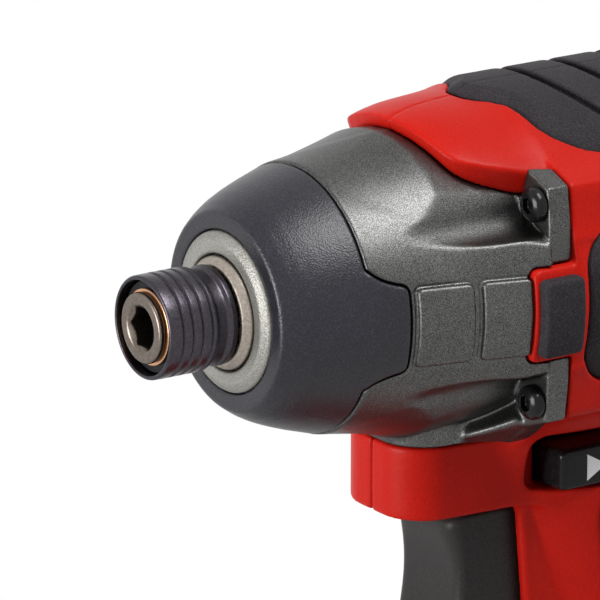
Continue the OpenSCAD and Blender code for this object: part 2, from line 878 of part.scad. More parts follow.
// Draws an outline in Y and Z and carries it from one place along X to another
module run(from_x, to_x) {
  translate([min(from_x, to_x), 0, 0]) rotate([90, 0, 90]) linear_extrude(abs(to_x - from_x)) children();
}

module ring_gear() {
  color("gray") head() run(ring_back_x, ring_front_x) difference() {
    circle(r = ring_out_r);
    gear_outline(ring_teeth, ring_root_r, gear_module * (ring_teeth / 2 - addendum_share), -backlash);
  }
}

module sun_pinion() {
  color("silver") head() run(planet_back_x, planet_front_x) difference() {
    gear_outline(sun_teeth, tip_of(sun_teeth), root_of(sun_teeth), backlash);
    circle(r = motor_shaft_r + run_gap / 2);
  }
}

module planet_gear(k) {
  color("silver") head() rotate([360 * k / planet_count, 0, 0]) translate([0, planet_ring, 0])
    run(planet_back_x, planet_front_x) difference() {
      rotate(180 - 180 / planet_teeth)
        gear_outline(planet_teeth, tip_of(planet_teeth), root_of(planet_teeth), backlash);
      circle(d = planet_pin_d + 2 * run_gap);
    }
}

module at_planets(shift) {
  for (k = [0:planet_count - 1])
    rotate([360 * (k + shift) / planet_count, 0, 0]) translate([0, planet_ring, 0]) children();
}

module planet_pins() {
  color("lightgray") head() at_planets(0)
    bar(hub_x + run_gap, disc_front_x - run_gap, planet_pin_d / 2);
}

// Hammer with its cam shaft

module cam_shaft() {
  color("darkgray") head() difference() {
    union() {
      turned([
        [hub_x - bearing_w - slide_gap * 2, hub_bore_r], [hub_x - bearing_w - slide_gap * 2, hub_r],
        [hub_x, hub_r], [hub_x, disc_r], [disc_back_x, disc_r], [disc_back_x, hub_bore_r]
      ]);
      turned([
        [disc_front_x - disc_t, 0], [disc_front_x - disc_t, disc_r], [disc_front_x, disc_r],
        [disc_front_x, cam_r], [hammer_front_x, cam_r], [hammer_front_x, pilot_r],
        [wing_back_x + pilot_len - slide_gap, pilot_r], [wing_back_x + pilot_len - slide_gap, 0]
      ]);
      at_planets(0.5) bar(disc_back_x - disc_t / 2, disc_front_x - disc_t / 2, pillar_r);
    }
    at_planets(0) bar(hub_x - over, disc_front_x + over, planet_pin_d / 2 + run_gap / 2);
    at_cam_balls() sphere(d = cam_ball_d + 2 * run_gap);
  }
}

module at_cam_balls() {
  for (turn = [90, 270])
    translate([cam_ball_x, 0, 0]) rotate([turn, 0, 0]) translate([0, 0, cam_r]) children();
}

module cam_balls() {
  color("lightgray") head() at_cam_balls() sphere(d = cam_ball_d, $fn = soft_fn);
}

module hammer() {
  color("dimgray") head() difference() {
    union() {
      ring(hammer_back_x, hammer_front_x, cam_r + run_gap, hammer_r);
      intersection() {
        ring(hammer_front_x, hammer_front_x + lug_len, lug_in_r, wing_r);
        for (turn = [90, 270]) rotate([turn, 0, 0])
          run(hammer_front_x, hammer_front_x + lug_len)
            polygon([[0, 0], [far * cos(lug_angle / 2), far * sin(lug_angle / 2)],
              [far * cos(lug_angle / 2), -far * sin(lug_angle / 2)]]);
      }
    }
    ring(hammer_back_x - over, hammer_back_x + hammer_len - spring_seat,
      (hammer_coil_r - hammer_wire / 2) * cos(180 / turn_rings) - slide_gap, hammer_coil_r + pocket_wall);
    at_cam_balls() {
      sphere(d = cam_ball_d + 2 * slide_gap);
      lay() cylinder(h = hammer_len, d = cam_ball_d + 2 * slide_gap);
    }
  }
}

module hammer_spring() {
  color("gray") head() coil(disc_front_x + hammer_wire / 2 + run_gap,
    hammer_back_x + hammer_len - spring_seat - hammer_wire / 2 - run_gap,
    hammer_coil_r, hammer_wire, hammer_turns);
}

// Gearbox plate, bearings and motor

module gearbox_plate() {
  color("#8d8f93") head() turned([
    [plate_front_x, disc_r + slide_gap * 2], [plate_front_x, plate_r],
    [plate_front_x - plate_rim, plate_r], [plate_front_x - plate_rim, carrier_bearing_r + plate_t],
    [carrier_bearing_x - bearing_w - plate_t, carrier_bearing_r + plate_t],
    [motor_bearing_x, motor_bearing_r + plate_t], [plate_back_x, motor_bearing_r + plate_t],
    [plate_back_x, motor_bearing_r + run_gap], [motor_bearing_x + run_gap, motor_bearing_r + run_gap],
    [motor_bearing_x + run_gap, motor_bearing_r - plate_t],
    [carrier_bearing_x - bearing_w - run_gap, motor_bearing_r - plate_t],
    [carrier_bearing_x - bearing_w - run_gap, carrier_bearing_r + run_gap],
    [hub_x - slide_gap, carrier_bearing_r + run_gap], [hub_x - slide_gap, disc_r + slide_gap * 2]
  ]);
}

module carrier_bearing() {
  color("silver") head()
    ring(carrier_bearing_x - bearing_w, carrier_bearing_x, hub_r + run_gap, carrier_bearing_r);
}

module motor_bearing_front() {
  color("silver") head()
    ring(motor_bearing_x - bearing_w, motor_bearing_x, motor_shaft_r + run_gap, motor_bearing_r);
}

module motor_bearing_rear() {
  color("silver") head()
    ring(rear_bearing_x - bearing_w, rear_bearing_x, motor_shaft_r + run_gap, motor_bearing_r);
}

module at_slots(shift) {
  for (k = [0:stator_slots - 1]) rotate(360 * (k + shift) / stator_slots) children();
}

stator_in_r = rotor_r + air_gap;
tooth_w = 7;
shoe_t = 1.6;
yoke_t = 4;
slot_out_r = stator_r - yoke_t;
module stator_core() {
  color("#77797d") head() run(stator_back_x, stator_front_x) {
    difference() {
      circle(r = stator_r);
      circle(r = slot_out_r);
    }
    at_slots(0) translate([stator_in_r + shoe_t / 2, -tooth_w / 2])
      square([slot_out_r - stator_in_r, tooth_w]);
    difference() {
      circle(r = stator_in_r + shoe_t);
      circle(r = stator_in_r);
      at_slots(0.5) translate([0, -shoe_t / 2]) square([stator_r / 2 + tooth_w, shoe_t]);
    }
  }
}

module stator_windings() {
  color("#b06a3a") head() run(stator_back_x - winding_t, stator_front_x + winding_t / 2)
    at_slots(0) for (side = [0, 1]) mirror([0, side])
      translate([stator_in_r + shoe_t + seat_gap * 2, tooth_w / 2 + seat_gap])
        square([slot_out_r - stator_in_r - shoe_t - seat_gap * 12, winding_t]);
}

module sensor_board() {
  color("#1f5a3a") head()
    ring(stator_back_x - winding_t - board_t - seat_gap, stator_back_x - winding_t - seat_gap,
      motor_shaft_r + board_t * 2, stator_r - seat_gap);
}

magnet_w = 13;
magnet_t = 2.4;
magnet_ring = 9;
magnet_count = 4;
module rotor_core() {
  color("#8b8d92") head() run(stator_back_x, stator_front_x) difference() {
    circle(r = rotor_r);
    circle(r = motor_shaft_r + run_gap / 2);
    for (k = [0:magnet_count - 1]) rotate(360 * k / magnet_count)
      translate([magnet_ring - seat_gap, -magnet_w / 2 - seat_gap])
        square([magnet_t + 2 * seat_gap, magnet_w + 2 * seat_gap]);
  }
}

module rotor_magnets() {
  color("#5f6164") head() run(stator_back_x + seat_gap, stator_front_x - seat_gap)
    for (k = [0:magnet_count - 1]) rotate(360 * k / magnet_count)
      translate([magnet_ring, -magnet_w / 2]) square([magnet_t, magnet_w]);
}

module motor_shaft() {
  color("silver") head() bar(rear_bearing_x - bearing_w, planet_front_x, motor_shaft_r);
}

module fan() {
  color("#2f2f33") head() difference() {
    union() {
      ring(fan_back_x, fan_front_x, motor_shaft_r + run_gap / 2, fan_hub_r);
      ring(fan_front_x - blade_t, fan_front_x, motor_shaft_r + run_gap, fan_d / 2);
      run(fan_back_x, fan_front_x) for (k = [0:fan_blades - 1]) rotate(360 * k / fan_blades)
        translate([fan_hub_r - blade_t, -blade_t / 2]) square([fan_d / 2 - fan_hub_r, blade_t]);
    }
    bar(fan_back_x - over, fan_front_x + over, motor_shaft_r + run_gap / 2);
  }
}

// Handle and foot, as rings of points from the foot up into the head

// Heights and sizes of the handle: share of the grip's length, its depth and its width
grip_shares = [[0.1, 0.98, 1.0], [0.3, 0.95, 0.96], [0.55, 1.0, 1.02], [0.8, 1.02, 0.99], [1, 1.12, 1.04]];
// The same for the foot, as shares of its height, length and width
foot_shares = [[0, 1, 1], [0.3, 1, 1], [0.56, 0.94, 0.95], [0.76, 0.74, 0.8], [0.93, 0.52, 0.6]];
foot_x_shares = [1, 1, 0.96, 0.7, 0.3];
neck_shares = [1.4, 1.1];
foot_roundness = 5;
grip_roundness = 2.7;

function grip_x(z) = grip_top_x - (ceiling_z - z) * tan(grip_tilt);
depth_table = concat(
  [for (s = foot_shares) [foot_z + foot_h * s[0], foot_len / 2 * s[1]]],
  [for (s = grip_shares) [foot_top_z + grip_len * s[0], grip_depth / 2 * s[1]]],
  [[ceiling_z + neck_rise, grip_depth / 2 * neck_shares[0]]]
);
width_table = concat(
  [for (s = foot_shares) [foot_z + foot_h * s[0], foot_w / 2 * s[2]]],
  [for (s = grip_shares) [foot_top_z + grip_len * s[0], grip_w / 2 * s[2]]],
  [[ceiling_z + neck_rise, grip_w / 2 * neck_shares[1]]]
);
centre_table = concat(
  [for (i = [0:4]) let (z = foot_z + foot_h * foot_shares[i][0]) [z, (1 - foot_x_shares[i]) * grip_x(z)]],
  [for (s = grip_shares) let (z = foot_top_z + grip_len * s[0]) [z, grip_x(z)]],
  [[ceiling_z + neck_rise, grip_x(ceiling_z + neck_rise)]]
);
roundness_table = [
  [foot_z, foot_roundness], [foot_z + foot_h * 0.56, foot_roundness],
  [foot_top_z + grip_len * 0.1, grip_roundness], [ceiling_z + neck_rise, grip_roundness]
];
function part_power(v, p) = sign(v) * abs(v) ^ p;

// Point of the handle's outside at a height and an angle, moved outwards by a rise
function grip_point(z, angle, rise) =
  let (p = 2 / curve(roundness_table, z))
  [
    curve(centre_table, z) + (curve(depth_table, z) + rise) * part_power(cos(angle), p),
    (curve(width_table, z) + rise) * part_power(sin(angle), p),
    z
  ];
function ring_angle(i) = 360 * i / ring_points;
handle_shares = [for (i = [0:ring_steps]) (i / ring_steps) ^ 1.35];
module handle() {
  skin([
    for (s = handle_shares) let (z = foot_z + (ceiling_z + neck_rise - foot_z) * s)
      [for (i = [0:ring_points - 1]) grip_point(z, ring_angle(i), 0)]
  ]);
}

// Rubber on one side of the grip: a thin skin from the middle of the back round to the side
grip_low_share = 0.05;
grip_high_share = 1;
grip_rows = 12;
grip_columns = 10;
grip_end_angles = [76, 78, 80, 81, 81, 80, 79, 78, 77.5, 77, 76, 75, 74];
module handle_grip(side) {
  color("#262628") {
    rows = [
      for (j = [0:grip_rows])
        let (
          z = foot_top_z + grip_len * (grip_low_share + (grip_high_share - grip_low_share) * j / grip_rows),
          start = 180 - asin(seat_gap / grip_w),
          step = (start - grip_end_angles[j]) / grip_columns
        )
        concat(
          [for (i = [0:grip_columns]) grip_point(z, start - step * i, grip_rubber)],
          [for (i = [grip_columns:-1:0]) grip_point(z, start - step * i, case_gap)]
        )
    ];
    skin(side > 0
      ? [for (r = rows) [for (i = [len(r) - 1:-1:0]) r[i]]]
      : [for (r = rows) [for (p = r) [p[0], -p[1], p[2]]]]);
  }
}

// Screws that close the housing, as places in X and Z
screw_spots = [
  [nose_reach + flange_x + chin_len * 0.45, ceiling_z + chin_drop * 0.13],
  [grip_top_x - grip_depth * 0.42, ceiling_z + chin_drop * 0.08],
  [grip_x(trigger_low_z - switch_h * 0.4) + grip_depth * 0.2, trigger_low_z - switch_h * 0.4],
  [grip_x(foot_top_z + grip_len * 0.16), foot_top_z + grip_len * 0.16],
  [foot_len * 0.27, foot_z + foot_h * 0.69],
  [-foot_len * 0.38, foot_z + foot_h * 0.62],
  [nose_reach + rear_bearing_x - bearing_w, axis_height + barrel_r * 0.55],
  [nose_reach + rear_bearing_x - bearing_w, axis_height - barrel_r * 0.55]
];
screw_shank = 13;
screw_grip = 5;
module at_screws() {
  for (spot = screw_spots) translate([spot[0], 0, spot[1]]) rotate([90, 0, 0]) children();
}

module housing_screws() {
  color("#3a3a3d") at_screws() {
    difference() {
      translate([0, 0, screw_grip + run_gap]) cylinder(h = handle_head_h, r = handle_head_r);
      translate([0, 0, screw_grip + handle_head_h / 2])
        cylinder(h = handle_head_h, r = handle_screw_r, $fn = 6);
    }
    translate([0, 0, screw_grip - screw_shank])
      cylinder(h = screw_shank + handle_head_h / 2, r = handle_screw_r);
  }
}

// Housing

rear_steps = 6;
barrel_outline = concat(
  [[front_x, 0], [front_x, barrel_r]],
  [for (i = [0:rear_steps]) let (a = 90 * i / rear_steps)
    [head_back_x + nose_round * (1 - sin(a)), barrel_r - nose_round * (1 - cos(a))]],
  [[head_back_x, 0]]
);

// Chin under the case
module chin() {
  translate([0, 0, -chin_drop]) linear_extrude(chin_drop - chin_seat - seat_gap) chin_plan();
}

case_gap = 0.3;
module housing_body() {
  head() difference() {
    union() {
      difference() {
        union() {
          turned(barrel_outline);
          intersection() {
            ears(front_x - boss_len, front_x);
            turned([
              [front_x, 0], [front_x, far], [front_x - boss_len / 2, ear_out_r],
              [front_x - boss_len, barrel_r], [front_x - boss_len, 0]
            ]);
          }
        }
        turned(concat(
          [[over, 0]], [[over, case_front_r]], case_skin(case_gap), [[flange_x - case_gap / 2, 0]]
        ));
      }
      chin();
      difference() {
        intersection() {
          brow_space(0);
          turned([
            [brow_tip_x, 0], [brow_tip_x, brow_tip_r], [brow_bend_x, brow_bend_r],
            [front_x, barrel_r], [front_x - over, barrel_r], [front_x - over, 0]
          ]);
        }
        at_case_screws() bar(screw_seat_x - case_gap, 0, channel_r);
      }
      intersection() {
        tongue_space(0);
        bar(front_x - over, 0, flange_r - pad_rise);
      }
    }
    turned([
      [front_x + over, 0], [front_x + over, plate_r + seat_gap],
      [plate_front_x - plate_rim - seat_gap, plate_r + seat_gap],
      [plate_front_x - plate_rim - seat_gap, plate_r - plate_t],
      [plate_front_x - plate_rim - plate_t, plate_r - plate_t],
      [plate_front_x - plate_rim - plate_t, bay_r], [stator_front_x - plate_t, bay_r],
      [stator_front_x - plate_t, stator_r + seat_gap], [stator_back_x - winding_t * 2, stator_r + seat_gap],
      [stator_back_x - winding_t * 2, bay_r], [fan_back_x - slide_gap * 2, bay_r],
      [fan_back_x - slide_gap * 2, motor_bearing_r - plate_t / 2],
      [rear_bearing_x + run_gap, motor_bearing_r - plate_t / 2],
      [rear_bearing_x + run_gap, motor_bearing_r + run_gap],
      [rear_bearing_x - bearing_w - run_gap, motor_bearing_r + run_gap],
      [rear_bearing_x - bearing_w - run_gap, 0]
    ]);
    difference() {
      union() {
        top_space(seat_gap);
        panel_space(seat_gap);
      }
      bar(head_back_x, over, rubber_floor_r);
    }
    at_case_screws() bar(screw_seat_x - screw_len - over, front_x + over, screw_r + run_gap);
    for (i = [0:vent_count - 1]) let (z = (i - (vent_count - 1) / 2) * vent_pitch)
      side_outline(fan_back_x, fan_front_x + winding_t, z - vent_w / 2, z + vent_w / 2, vent_w * 0.45);
  }
}

// Pockets for the trigger, switch, slider, wires, battery rails and electronics
light_x = foot_len * 0.4;
light_z = foot_z + foot_h * 0.74;
light_tilt = 50;
light_r = 2.6;
light_len = 5;
wire_room = 15;
module housing_pockets() {
  block([switch_front_x - seat_gap, -trigger_w / 2 - slide_gap, trigger_low_z - slide_gap],
    [far, trigger_w / 2 + slide_gap, ceiling_z]);
  block([switch_front_x - switch_len - seat_gap, -switch_w / 2 - seat_gap,
    trigger_top_z - switch_h - seat_gap],
    [switch_front_x + over, switch_w / 2 + seat_gap, trigger_top_z + seat_gap]);
  block([slider_x - slider_depth / 2 - slide_gap, -far, slider_z - slider_h / 2 - slide_gap],
    [slider_x + slider_depth / 2 + slide_gap, far, slider_z + slider_h / 2 + slide_gap]);
  difference() {
    side_outline(slider_x - well_len / 2, slider_x + well_len / 2, slider_z + well_rise - well_h / 2,
      slider_z + well_rise + well_h / 2, well_round);
    block([-far, -well_floor, 0], [far, well_floor, far]);
  }
  difference() {
    hull() {
      translate([grip_x(foot_top_z) - wire_room / 2, -wire_room / 2, foot_z + foot_h * 0.6])
        cube([wire_room, wire_room, over]);
      translate([switch_front_x - switch_len, -wire_room / 2, trigger_top_z - switch_h])
        cube([wire_room, wire_room, over]);
    }
    at_screws() cylinder(h = far, r = handle_boss_r, center = true);
  }
  block([rail_back_x, -rail_neck_w / 2 - slide_gap, foot_z - over],
    [far, rail_neck_w / 2 + slide_gap, battery_h + rail_neck_h + slide_gap]);
  block([rail_back_x, -rail_head_w / 2 - slide_gap, battery_h + rail_neck_h - slide_gap],
    [far, rail_head_w / 2 + slide_gap, rail_top_z + slide_gap]);
  block([module_x - seat_gap, -module_w / 2 - seat_gap, rail_top_z],
    [module_x + module_len + seat_gap, module_w / 2 + seat_gap, rail_top_z + 2 * slide_gap + module_h]);
  light_space(seat_gap);
  at_screws() {
    translate([0, 0, screw_grip - screw_shank - slide_gap])
      cylinder(h = screw_shank + over, r = handle_screw_r + run_gap);
    translate([0, 0, screw_grip]) cylinder(h = far, r = handle_head_r + slide_gap);
  }
}

module light_space(gap) {
  translate([light_x, 0, light_z]) rotate([0, 90 - light_tilt, 0])
    translate([0, 0, -light_len - gap]) cylinder(h = light_len * 1.2 + gap, r = light_r + gap);
}

module work_light() {
  color("white") light_space(0);
}

// Rim round the trigger, on the front of the handle
module bezel() {
  translate([0, 0, trigger_low_z - bezel_low]) linear_extrude(ceiling_z - trigger_low_z + 2 * bezel_low)
    round_box([bezel_x - bezel_len, -bezel_w / 2], [bezel_x, bezel_w / 2], bezel_round);
}

module housing(side) {
  color("#c8141c") half(side) difference() {
    union() {
      housing_body();
      bezel();
      difference() {
        handle();
        head() bar(front_x + over, head_back_x, barrel_r - over);
        head() bar(front_x, over, flange_r + case_gap);
      }
    }
    housing_pockets();
  }
}

// Rubber on the barrel

// Plan of the rubber on top: shares of its length and of the barrel's radius
top_shares = [
  [0, 0.03], [0.03, 0.09], [0.047, 0.2], [0.067, 0.313], [0.092, 0.455], [0.112, 0.523], [0.175, 0.61],
  [0.2, 0.677], [0.245, 0.703], [1, 0.703]
];
top_back_x = head_back_x + nose_round * 0.6;
top_len = top_front_x - top_back_x;
top_edge = [for (s = top_shares) [top_front_x - top_len * s[0], barrel_r * s[1]]];
module top_space(gap) {
  linear_extrude(far) offset(delta = gap) polygon(both_sides(top_edge));
}
module top_grip(side) {
  color("#28282a") head() half(side) intersection() {
    difference() {
      turned([
        [top_front_x, rubber_floor_r + seat_gap], [top_front_x, rubber_r - edge_chamfer],
        [top_front_x - edge_chamfer * 2, rubber_r], [head_back_x + nose_round, rubber_r],
        [top_back_x, rubber_r - rubber_t / 2], [top_back_x, rubber_floor_r + seat_gap]
      ]);
      difference() {
        for (i = [0:top_grooves - 1]) let (x = top_front_x - groove_lead - i * groove_pitch)
          translate([x - groove_bend_r, 0, 0]) linear_extrude(far) difference() {
            circle(r = groove_bend_r);
            circle(r = groove_bend_r - groove_w);
          }
        bar(head_back_x, over, rubber_r - groove_depth);
      }
    }
    top_space(0);
  }
}

// Side view of the rubber panel on the barrel
module panel_space(gap) {
  side_outline(side_panel_x - side_panel_len - gap, side_panel_x + gap, side_panel_low - gap,
    side_panel_top + gap, pad_h / 2 + gap);
}

small_pad_edge = 1.2;
module side_pads(side) {
  color("#28282a") head() half(side) {
    intersection() {
      ring(side_panel_x - side_panel_len, side_panel_x, rubber_floor_r + seat_gap, rubber_r);
      panel_space(0);
    }
    intersection() {
      ring(front_x, flange_x + tongue_len, flange_r - pad_rise + seat_gap, flange_r + rubber_t * 0.8);
      side_outline(front_x, flange_x + tongue_len - small_pad_edge,
        tongue_shift - pad_h / 2 + small_pad_edge / 2,
        tongue_shift + pad_h / 2 - small_pad_edge / 2, pad_round);
    }
  }
}

// Trigger, switch and slider

trigger_scoop_r = 24;
trigger_scoop = 2.4;
trigger_corner = 4;
module trigger() {
  color("#4a4a4d") difference() {
    union() {
      intersection() {
        across(trigger_w) difference() {
          round_box([trigger_back_x, trigger_low_z], [trigger_front_x, trigger_top_z], trigger_corner);
          translate([trigger_front_x + trigger_scoop_r - trigger_scoop, (trigger_low_z + trigger_top_z) / 2])
            circle(r = trigger_scoop_r);
        }
        translate([0, 0, trigger_low_z]) linear_extrude(trigger_h)
          round_box([trigger_back_x - trigger_corner, -trigger_w / 2], [trigger_front_x, trigger_w / 2],
            trigger_corner);
      }
      translate([switch_front_x + slide_gap, 0, trigger_top_z - switch_h / 2]) lay()
        cylinder(h = trigger_back_x - switch_front_x + over, r = stem_r);
    }
    translate([trigger_back_x - over, 0, trigger_top_z - switch_h / 2]) lay() difference() {
      cylinder(h = spring_well + over, r = trigger_coil_r + trigger_wire);
      cylinder(h = far, r = stem_r, center = true);
    }
  }
}

trigger_wire = 0.8;
trigger_turns = 5;
trigger_coil_room = 1.4;
trigger_coil_r = stem_r + trigger_coil_room;
spring_well = 4;
module trigger_spring() {
  color("gray") translate([0, 0, trigger_top_z - switch_h / 2]) coil(
    switch_front_x + trigger_wire, trigger_back_x + spring_well - trigger_wire,
    trigger_coil_r, trigger_wire, trigger_turns);
}

module trigger_switch() {
  color("#303033") difference() {
    block([switch_front_x - switch_len, -switch_w / 2, trigger_top_z - switch_h],
      [switch_front_x, switch_w / 2, trigger_top_z]);
    translate([switch_front_x - trigger_travel - slide_gap, 0, trigger_top_z - switch_h / 2]) lay()
      cylinder(h = far, r = stem_r + slide_gap);
  }
}

module direction_slider() {
  color("#1d1d1f") translate([slider_x, 0, slider_z]) linear_extrude(slider_h, center = true)
    round_box([-slider_depth / 2, -slider_len / 2], [slider_depth / 2, slider_len / 2], edge_chamfer * 2);
}

// Electronics in the foot

module_len = foot_len * 0.5;
module_w = foot_w * 0.5;
module_x = -foot_len * 0.3;
module control_module() {
  color("#2d2f33") block([module_x, -module_w / 2, rail_top_z + 2 * slide_gap],
    [module_x + module_len, module_w / 2, rail_top_z + 2 * slide_gap + module_h - seat_gap]);
}

contact_count = 4;
module at_contacts() {
  for (i = [0:contact_count - 1])
    translate([0, (i - (contact_count - 1) / 2) * contact_pitch, 0]) children();
}

module terminal_block() {
  color("#c9a227") {
    block([rail_back_x + seat_gap, -contact_count * contact_pitch / 2, battery_h + rail_neck_h],
      [rail_back_x + deck_t, contact_count * contact_pitch / 2, rail_top_z]);
    at_contacts() block([rail_back_x + deck_t / 2, -contact_w / 2, battery_h + rail_neck_h + slide_gap],
      [rail_back_x + deck_t + contact_len, contact_w / 2, rail_top_z - slide_gap * 3]);
  }
}

// Battery

module pack_outline(inset) {
  corner = [battery_len / 2 - inset, battery_w / 2 - inset];
  round_box(-corner, corner, battery_round - inset);
}

// Room for the row of cells
module cell_plan() {
  square([cell_pitch * cell_count, cell_len + 2 * seat_gap], center = true);
}

base_chamfer = 3;
module battery_base() {
  color("#2a2a2c") difference() {
    union() {
      translate([0, 0, base_chamfer])
        linear_extrude(battery_split_z - base_chamfer - seat_gap / 2) pack_outline(0);
      hull() {
        translate([0, 0, base_chamfer]) linear_extrude(base_chamfer / 2) pack_outline(0);
        linear_extrude(base_chamfer / 2) pack_outline(base_chamfer);
      }
    }
    translate([0, 0, battery_wall]) linear_extrude(far) cell_plan();
    at_pack_screws() {
      cylinder(h = battery_split_z, r = handle_screw_r + run_gap);
      translate([0, 0, -over]) cylinder(h = pack_head_z + over, r = handle_head_r + slide_gap);
    }
  }
}

pack_head_z = 8;
pack_screw_len = 28;
module at_pack_screws() {
  for (x = [-1, 1], y = [-1, 1])
    translate([x * (battery_len / 2 - pack_screw_inset), y * (battery_w / 2 - pack_screw_side), 0])
      children();
}

module battery_screws() {
  color("#3a3a3d") at_pack_screws() {
    translate([0, 0, pack_head_z - handle_head_h]) cylinder(h = handle_head_h - run_gap, r = handle_head_r);
    translate([0, 0, pack_head_z - handle_head_h / 2])
      cylinder(h = pack_screw_len, r = handle_screw_r);
  }
}

module battery_cells() {
  color("#3f6f9f") for (i = [0:cell_count - 1])
    translate([(i - (cell_count - 1) / 2) * cell_pitch, 0, cell_z])
      rotate([90, 0, 0]) cylinder(h = cell_len, d = cell_d, center = true);
}

// Board with a fork of two springs for each contact of the tool
fork_gap = 0.3;
module battery_board() {
  row = cell_pitch * cell_count / 2 - battery_wall;
  color("#1f5a3a") {
    block([-row, -cell_len / 2, battery_board_z],
      [row - release_t, cell_len / 2, battery_board_z + battery_board_t]);
    at_contacts() for (side = [0, 1]) mirror([0, side, 0])
      block([rail_back_x + deck_t + slide_gap, contact_w / 2 + fork_gap, battery_board_z],
        [rail_back_x + deck_t + contact_len, contact_w * 1.5 + fork_gap, rail_top_z - deck_t / 2]);
  }
}

module battery_top() {
  color("#2a2a2c") difference() {
    union() {
      translate([0, 0, battery_split_z + seat_gap / 2])
        linear_extrude(battery_h - battery_split_z - seat_gap / 2) pack_outline(0);
      block([rail_back_x + deck_t + slide_gap, -rail_neck_w / 2, battery_h - over],
        [rail_back_x + rail_len, rail_neck_w / 2, battery_h + rail_neck_h]);
      block([rail_back_x + deck_t + slide_gap, -rail_head_w / 2, battery_h + rail_neck_h],
        [rail_back_x + rail_len, rail_head_w / 2, rail_top_z]);
    }
    linear_extrude(battery_h - deck_t) cell_plan();
    at_contacts() block([rail_back_x - over, -contact_w * 2.2, battery_h - deck_t - over],
      [rail_back_x + deck_t + contact_len + slide_gap, contact_w * 2.2, rail_top_z - deck_t / 3]);
    at_pack_screws() cylinder(h = pack_head_z + pack_screw_len, r = handle_screw_r + run_gap);
    release_space(slide_gap, release_room - slide_gap);
  }
}

// Room for the release button in the front of the battery
module release_space(gap, drop) {
  block([battery_len / 2 - release_t - gap, -release_w / 2 - gap, release_low_z - drop - gap],
    [battery_len / 2 + over, release_w / 2 + gap, release_low_z + release_h + gap]);
}

module release_button() {
  color("#c8141c") difference() {
    block([battery_len / 2 - release_t, -release_w / 2, release_low_z],
      [battery_len / 2 - seat_gap, release_w / 2, release_low_z + release_h]);
    translate([battery_len / 2 + release_h * 0.8, 0, release_low_z + release_h * 0.55])
      rotate([90, 0, 0]) cylinder(h = far, r = release_h * 0.9, center = true);
  }
}

module release_spring() {
  color("gray") translate([battery_len / 2 - release_t / 2, 0, 0]) rotate([0, -90, 0])
    coil(release_low_z - release_room + release_wire / 2, release_low_z - release_wire / 2 - run_gap,
      release_coil_r, release_wire, release_turns);
}

housing(1);  // housing_left
housing(-1);  // housing_right
top_grip(1);  // top_grip_left
top_grip(-1);  // top_grip_right
side_pads(1);  // side_pads_left
side_pads(-1);  // side_pads_right
handle_grip(1);  // handle_grip_left
handle_grip(-1);  // handle_grip_right
housing_screws();
hammer_case();
nose_bumper();
case_screws();
nose_seal();
anvil_bush();
thrust_washer();
ring_gear();
gearbox_plate();
carrier_bearing();
stator_core();
stator_windings();
sensor_board();
motor_bearing_front();
motor_bearing_rear();
rotor_core();
rotor_magnets();
motor_shaft();
sun_pinion();
fan();
cam_shaft();
cam_balls();
planet_pins();
planet_gear(0);  // planet_gear_1
planet_gear(1);  // planet_gear_2
planet_gear(2);  // planet_gear_3
hammer();
hammer_spring();
anvil();
lock_balls();
sleeve_washer();
retaining_ring();
sleeve_spring();
chuck_sleeve();
trigger_switch();
trigger();
trigger_spring();
direction_slider();
control_module();
terminal_block();
work_light();
battery_base();
battery_top();
battery_cells();
battery_board();
battery_screws();
release_button();
release_spring();
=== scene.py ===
import json
import math

import bmesh
import bpy
import numpy as np
import openvdb
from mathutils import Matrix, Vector


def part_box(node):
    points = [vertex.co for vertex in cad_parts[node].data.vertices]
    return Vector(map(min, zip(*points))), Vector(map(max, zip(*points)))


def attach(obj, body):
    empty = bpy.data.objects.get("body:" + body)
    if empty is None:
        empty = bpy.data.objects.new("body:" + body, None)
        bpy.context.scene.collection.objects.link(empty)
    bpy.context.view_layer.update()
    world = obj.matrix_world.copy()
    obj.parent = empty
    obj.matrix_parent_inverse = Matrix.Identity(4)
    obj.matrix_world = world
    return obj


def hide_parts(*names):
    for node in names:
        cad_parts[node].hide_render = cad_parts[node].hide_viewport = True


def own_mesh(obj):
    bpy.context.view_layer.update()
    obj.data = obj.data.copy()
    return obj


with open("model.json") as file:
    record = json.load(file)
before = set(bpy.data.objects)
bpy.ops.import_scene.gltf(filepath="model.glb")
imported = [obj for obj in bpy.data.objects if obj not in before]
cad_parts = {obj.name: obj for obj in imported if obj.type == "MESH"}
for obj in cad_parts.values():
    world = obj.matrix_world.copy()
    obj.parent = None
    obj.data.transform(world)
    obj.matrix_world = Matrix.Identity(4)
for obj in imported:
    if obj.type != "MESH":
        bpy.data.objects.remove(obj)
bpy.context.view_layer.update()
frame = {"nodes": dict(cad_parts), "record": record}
nodes = frame["nodes"]
scene = bpy.context.scene
print("frame loaded:", len(nodes), "nodes")

# Lengths below are millimetres in the tool's own frame. The head's places are measured from the
# nose face, on the spindle axis: x forwards, y to the user's left, z up.
mm = 0.001
head = dict(noseX=70.0, axisZ=200.0)


# Camera and light

view = dict(target=(54.0, 0.0, 199.5), turn=34.0, rise=17.0, distance=1000.0, lens=360.0, sensor=36.0)


def makeCamera():
    turn, rise = math.radians(view["turn"]), math.radians(view["rise"])
    back = Vector((math.cos(rise) * math.sin(turn), math.cos(rise) * math.cos(turn), math.sin(rise)))
    camera = bpy.data.objects.new("camera", bpy.data.cameras.new("camera"))
    camera.data.lens = view["lens"]
    camera.data.sensor_width = view["sensor"]
    camera.location = (Vector(view["target"]) + back * view["distance"]) * mm
    camera.rotation_mode = "QUATERNION"
    camera.rotation_quaternion = back.to_track_quat("Z", "Y")
    scene.collection.objects.link(camera)
    scene.camera = camera


makeCamera()

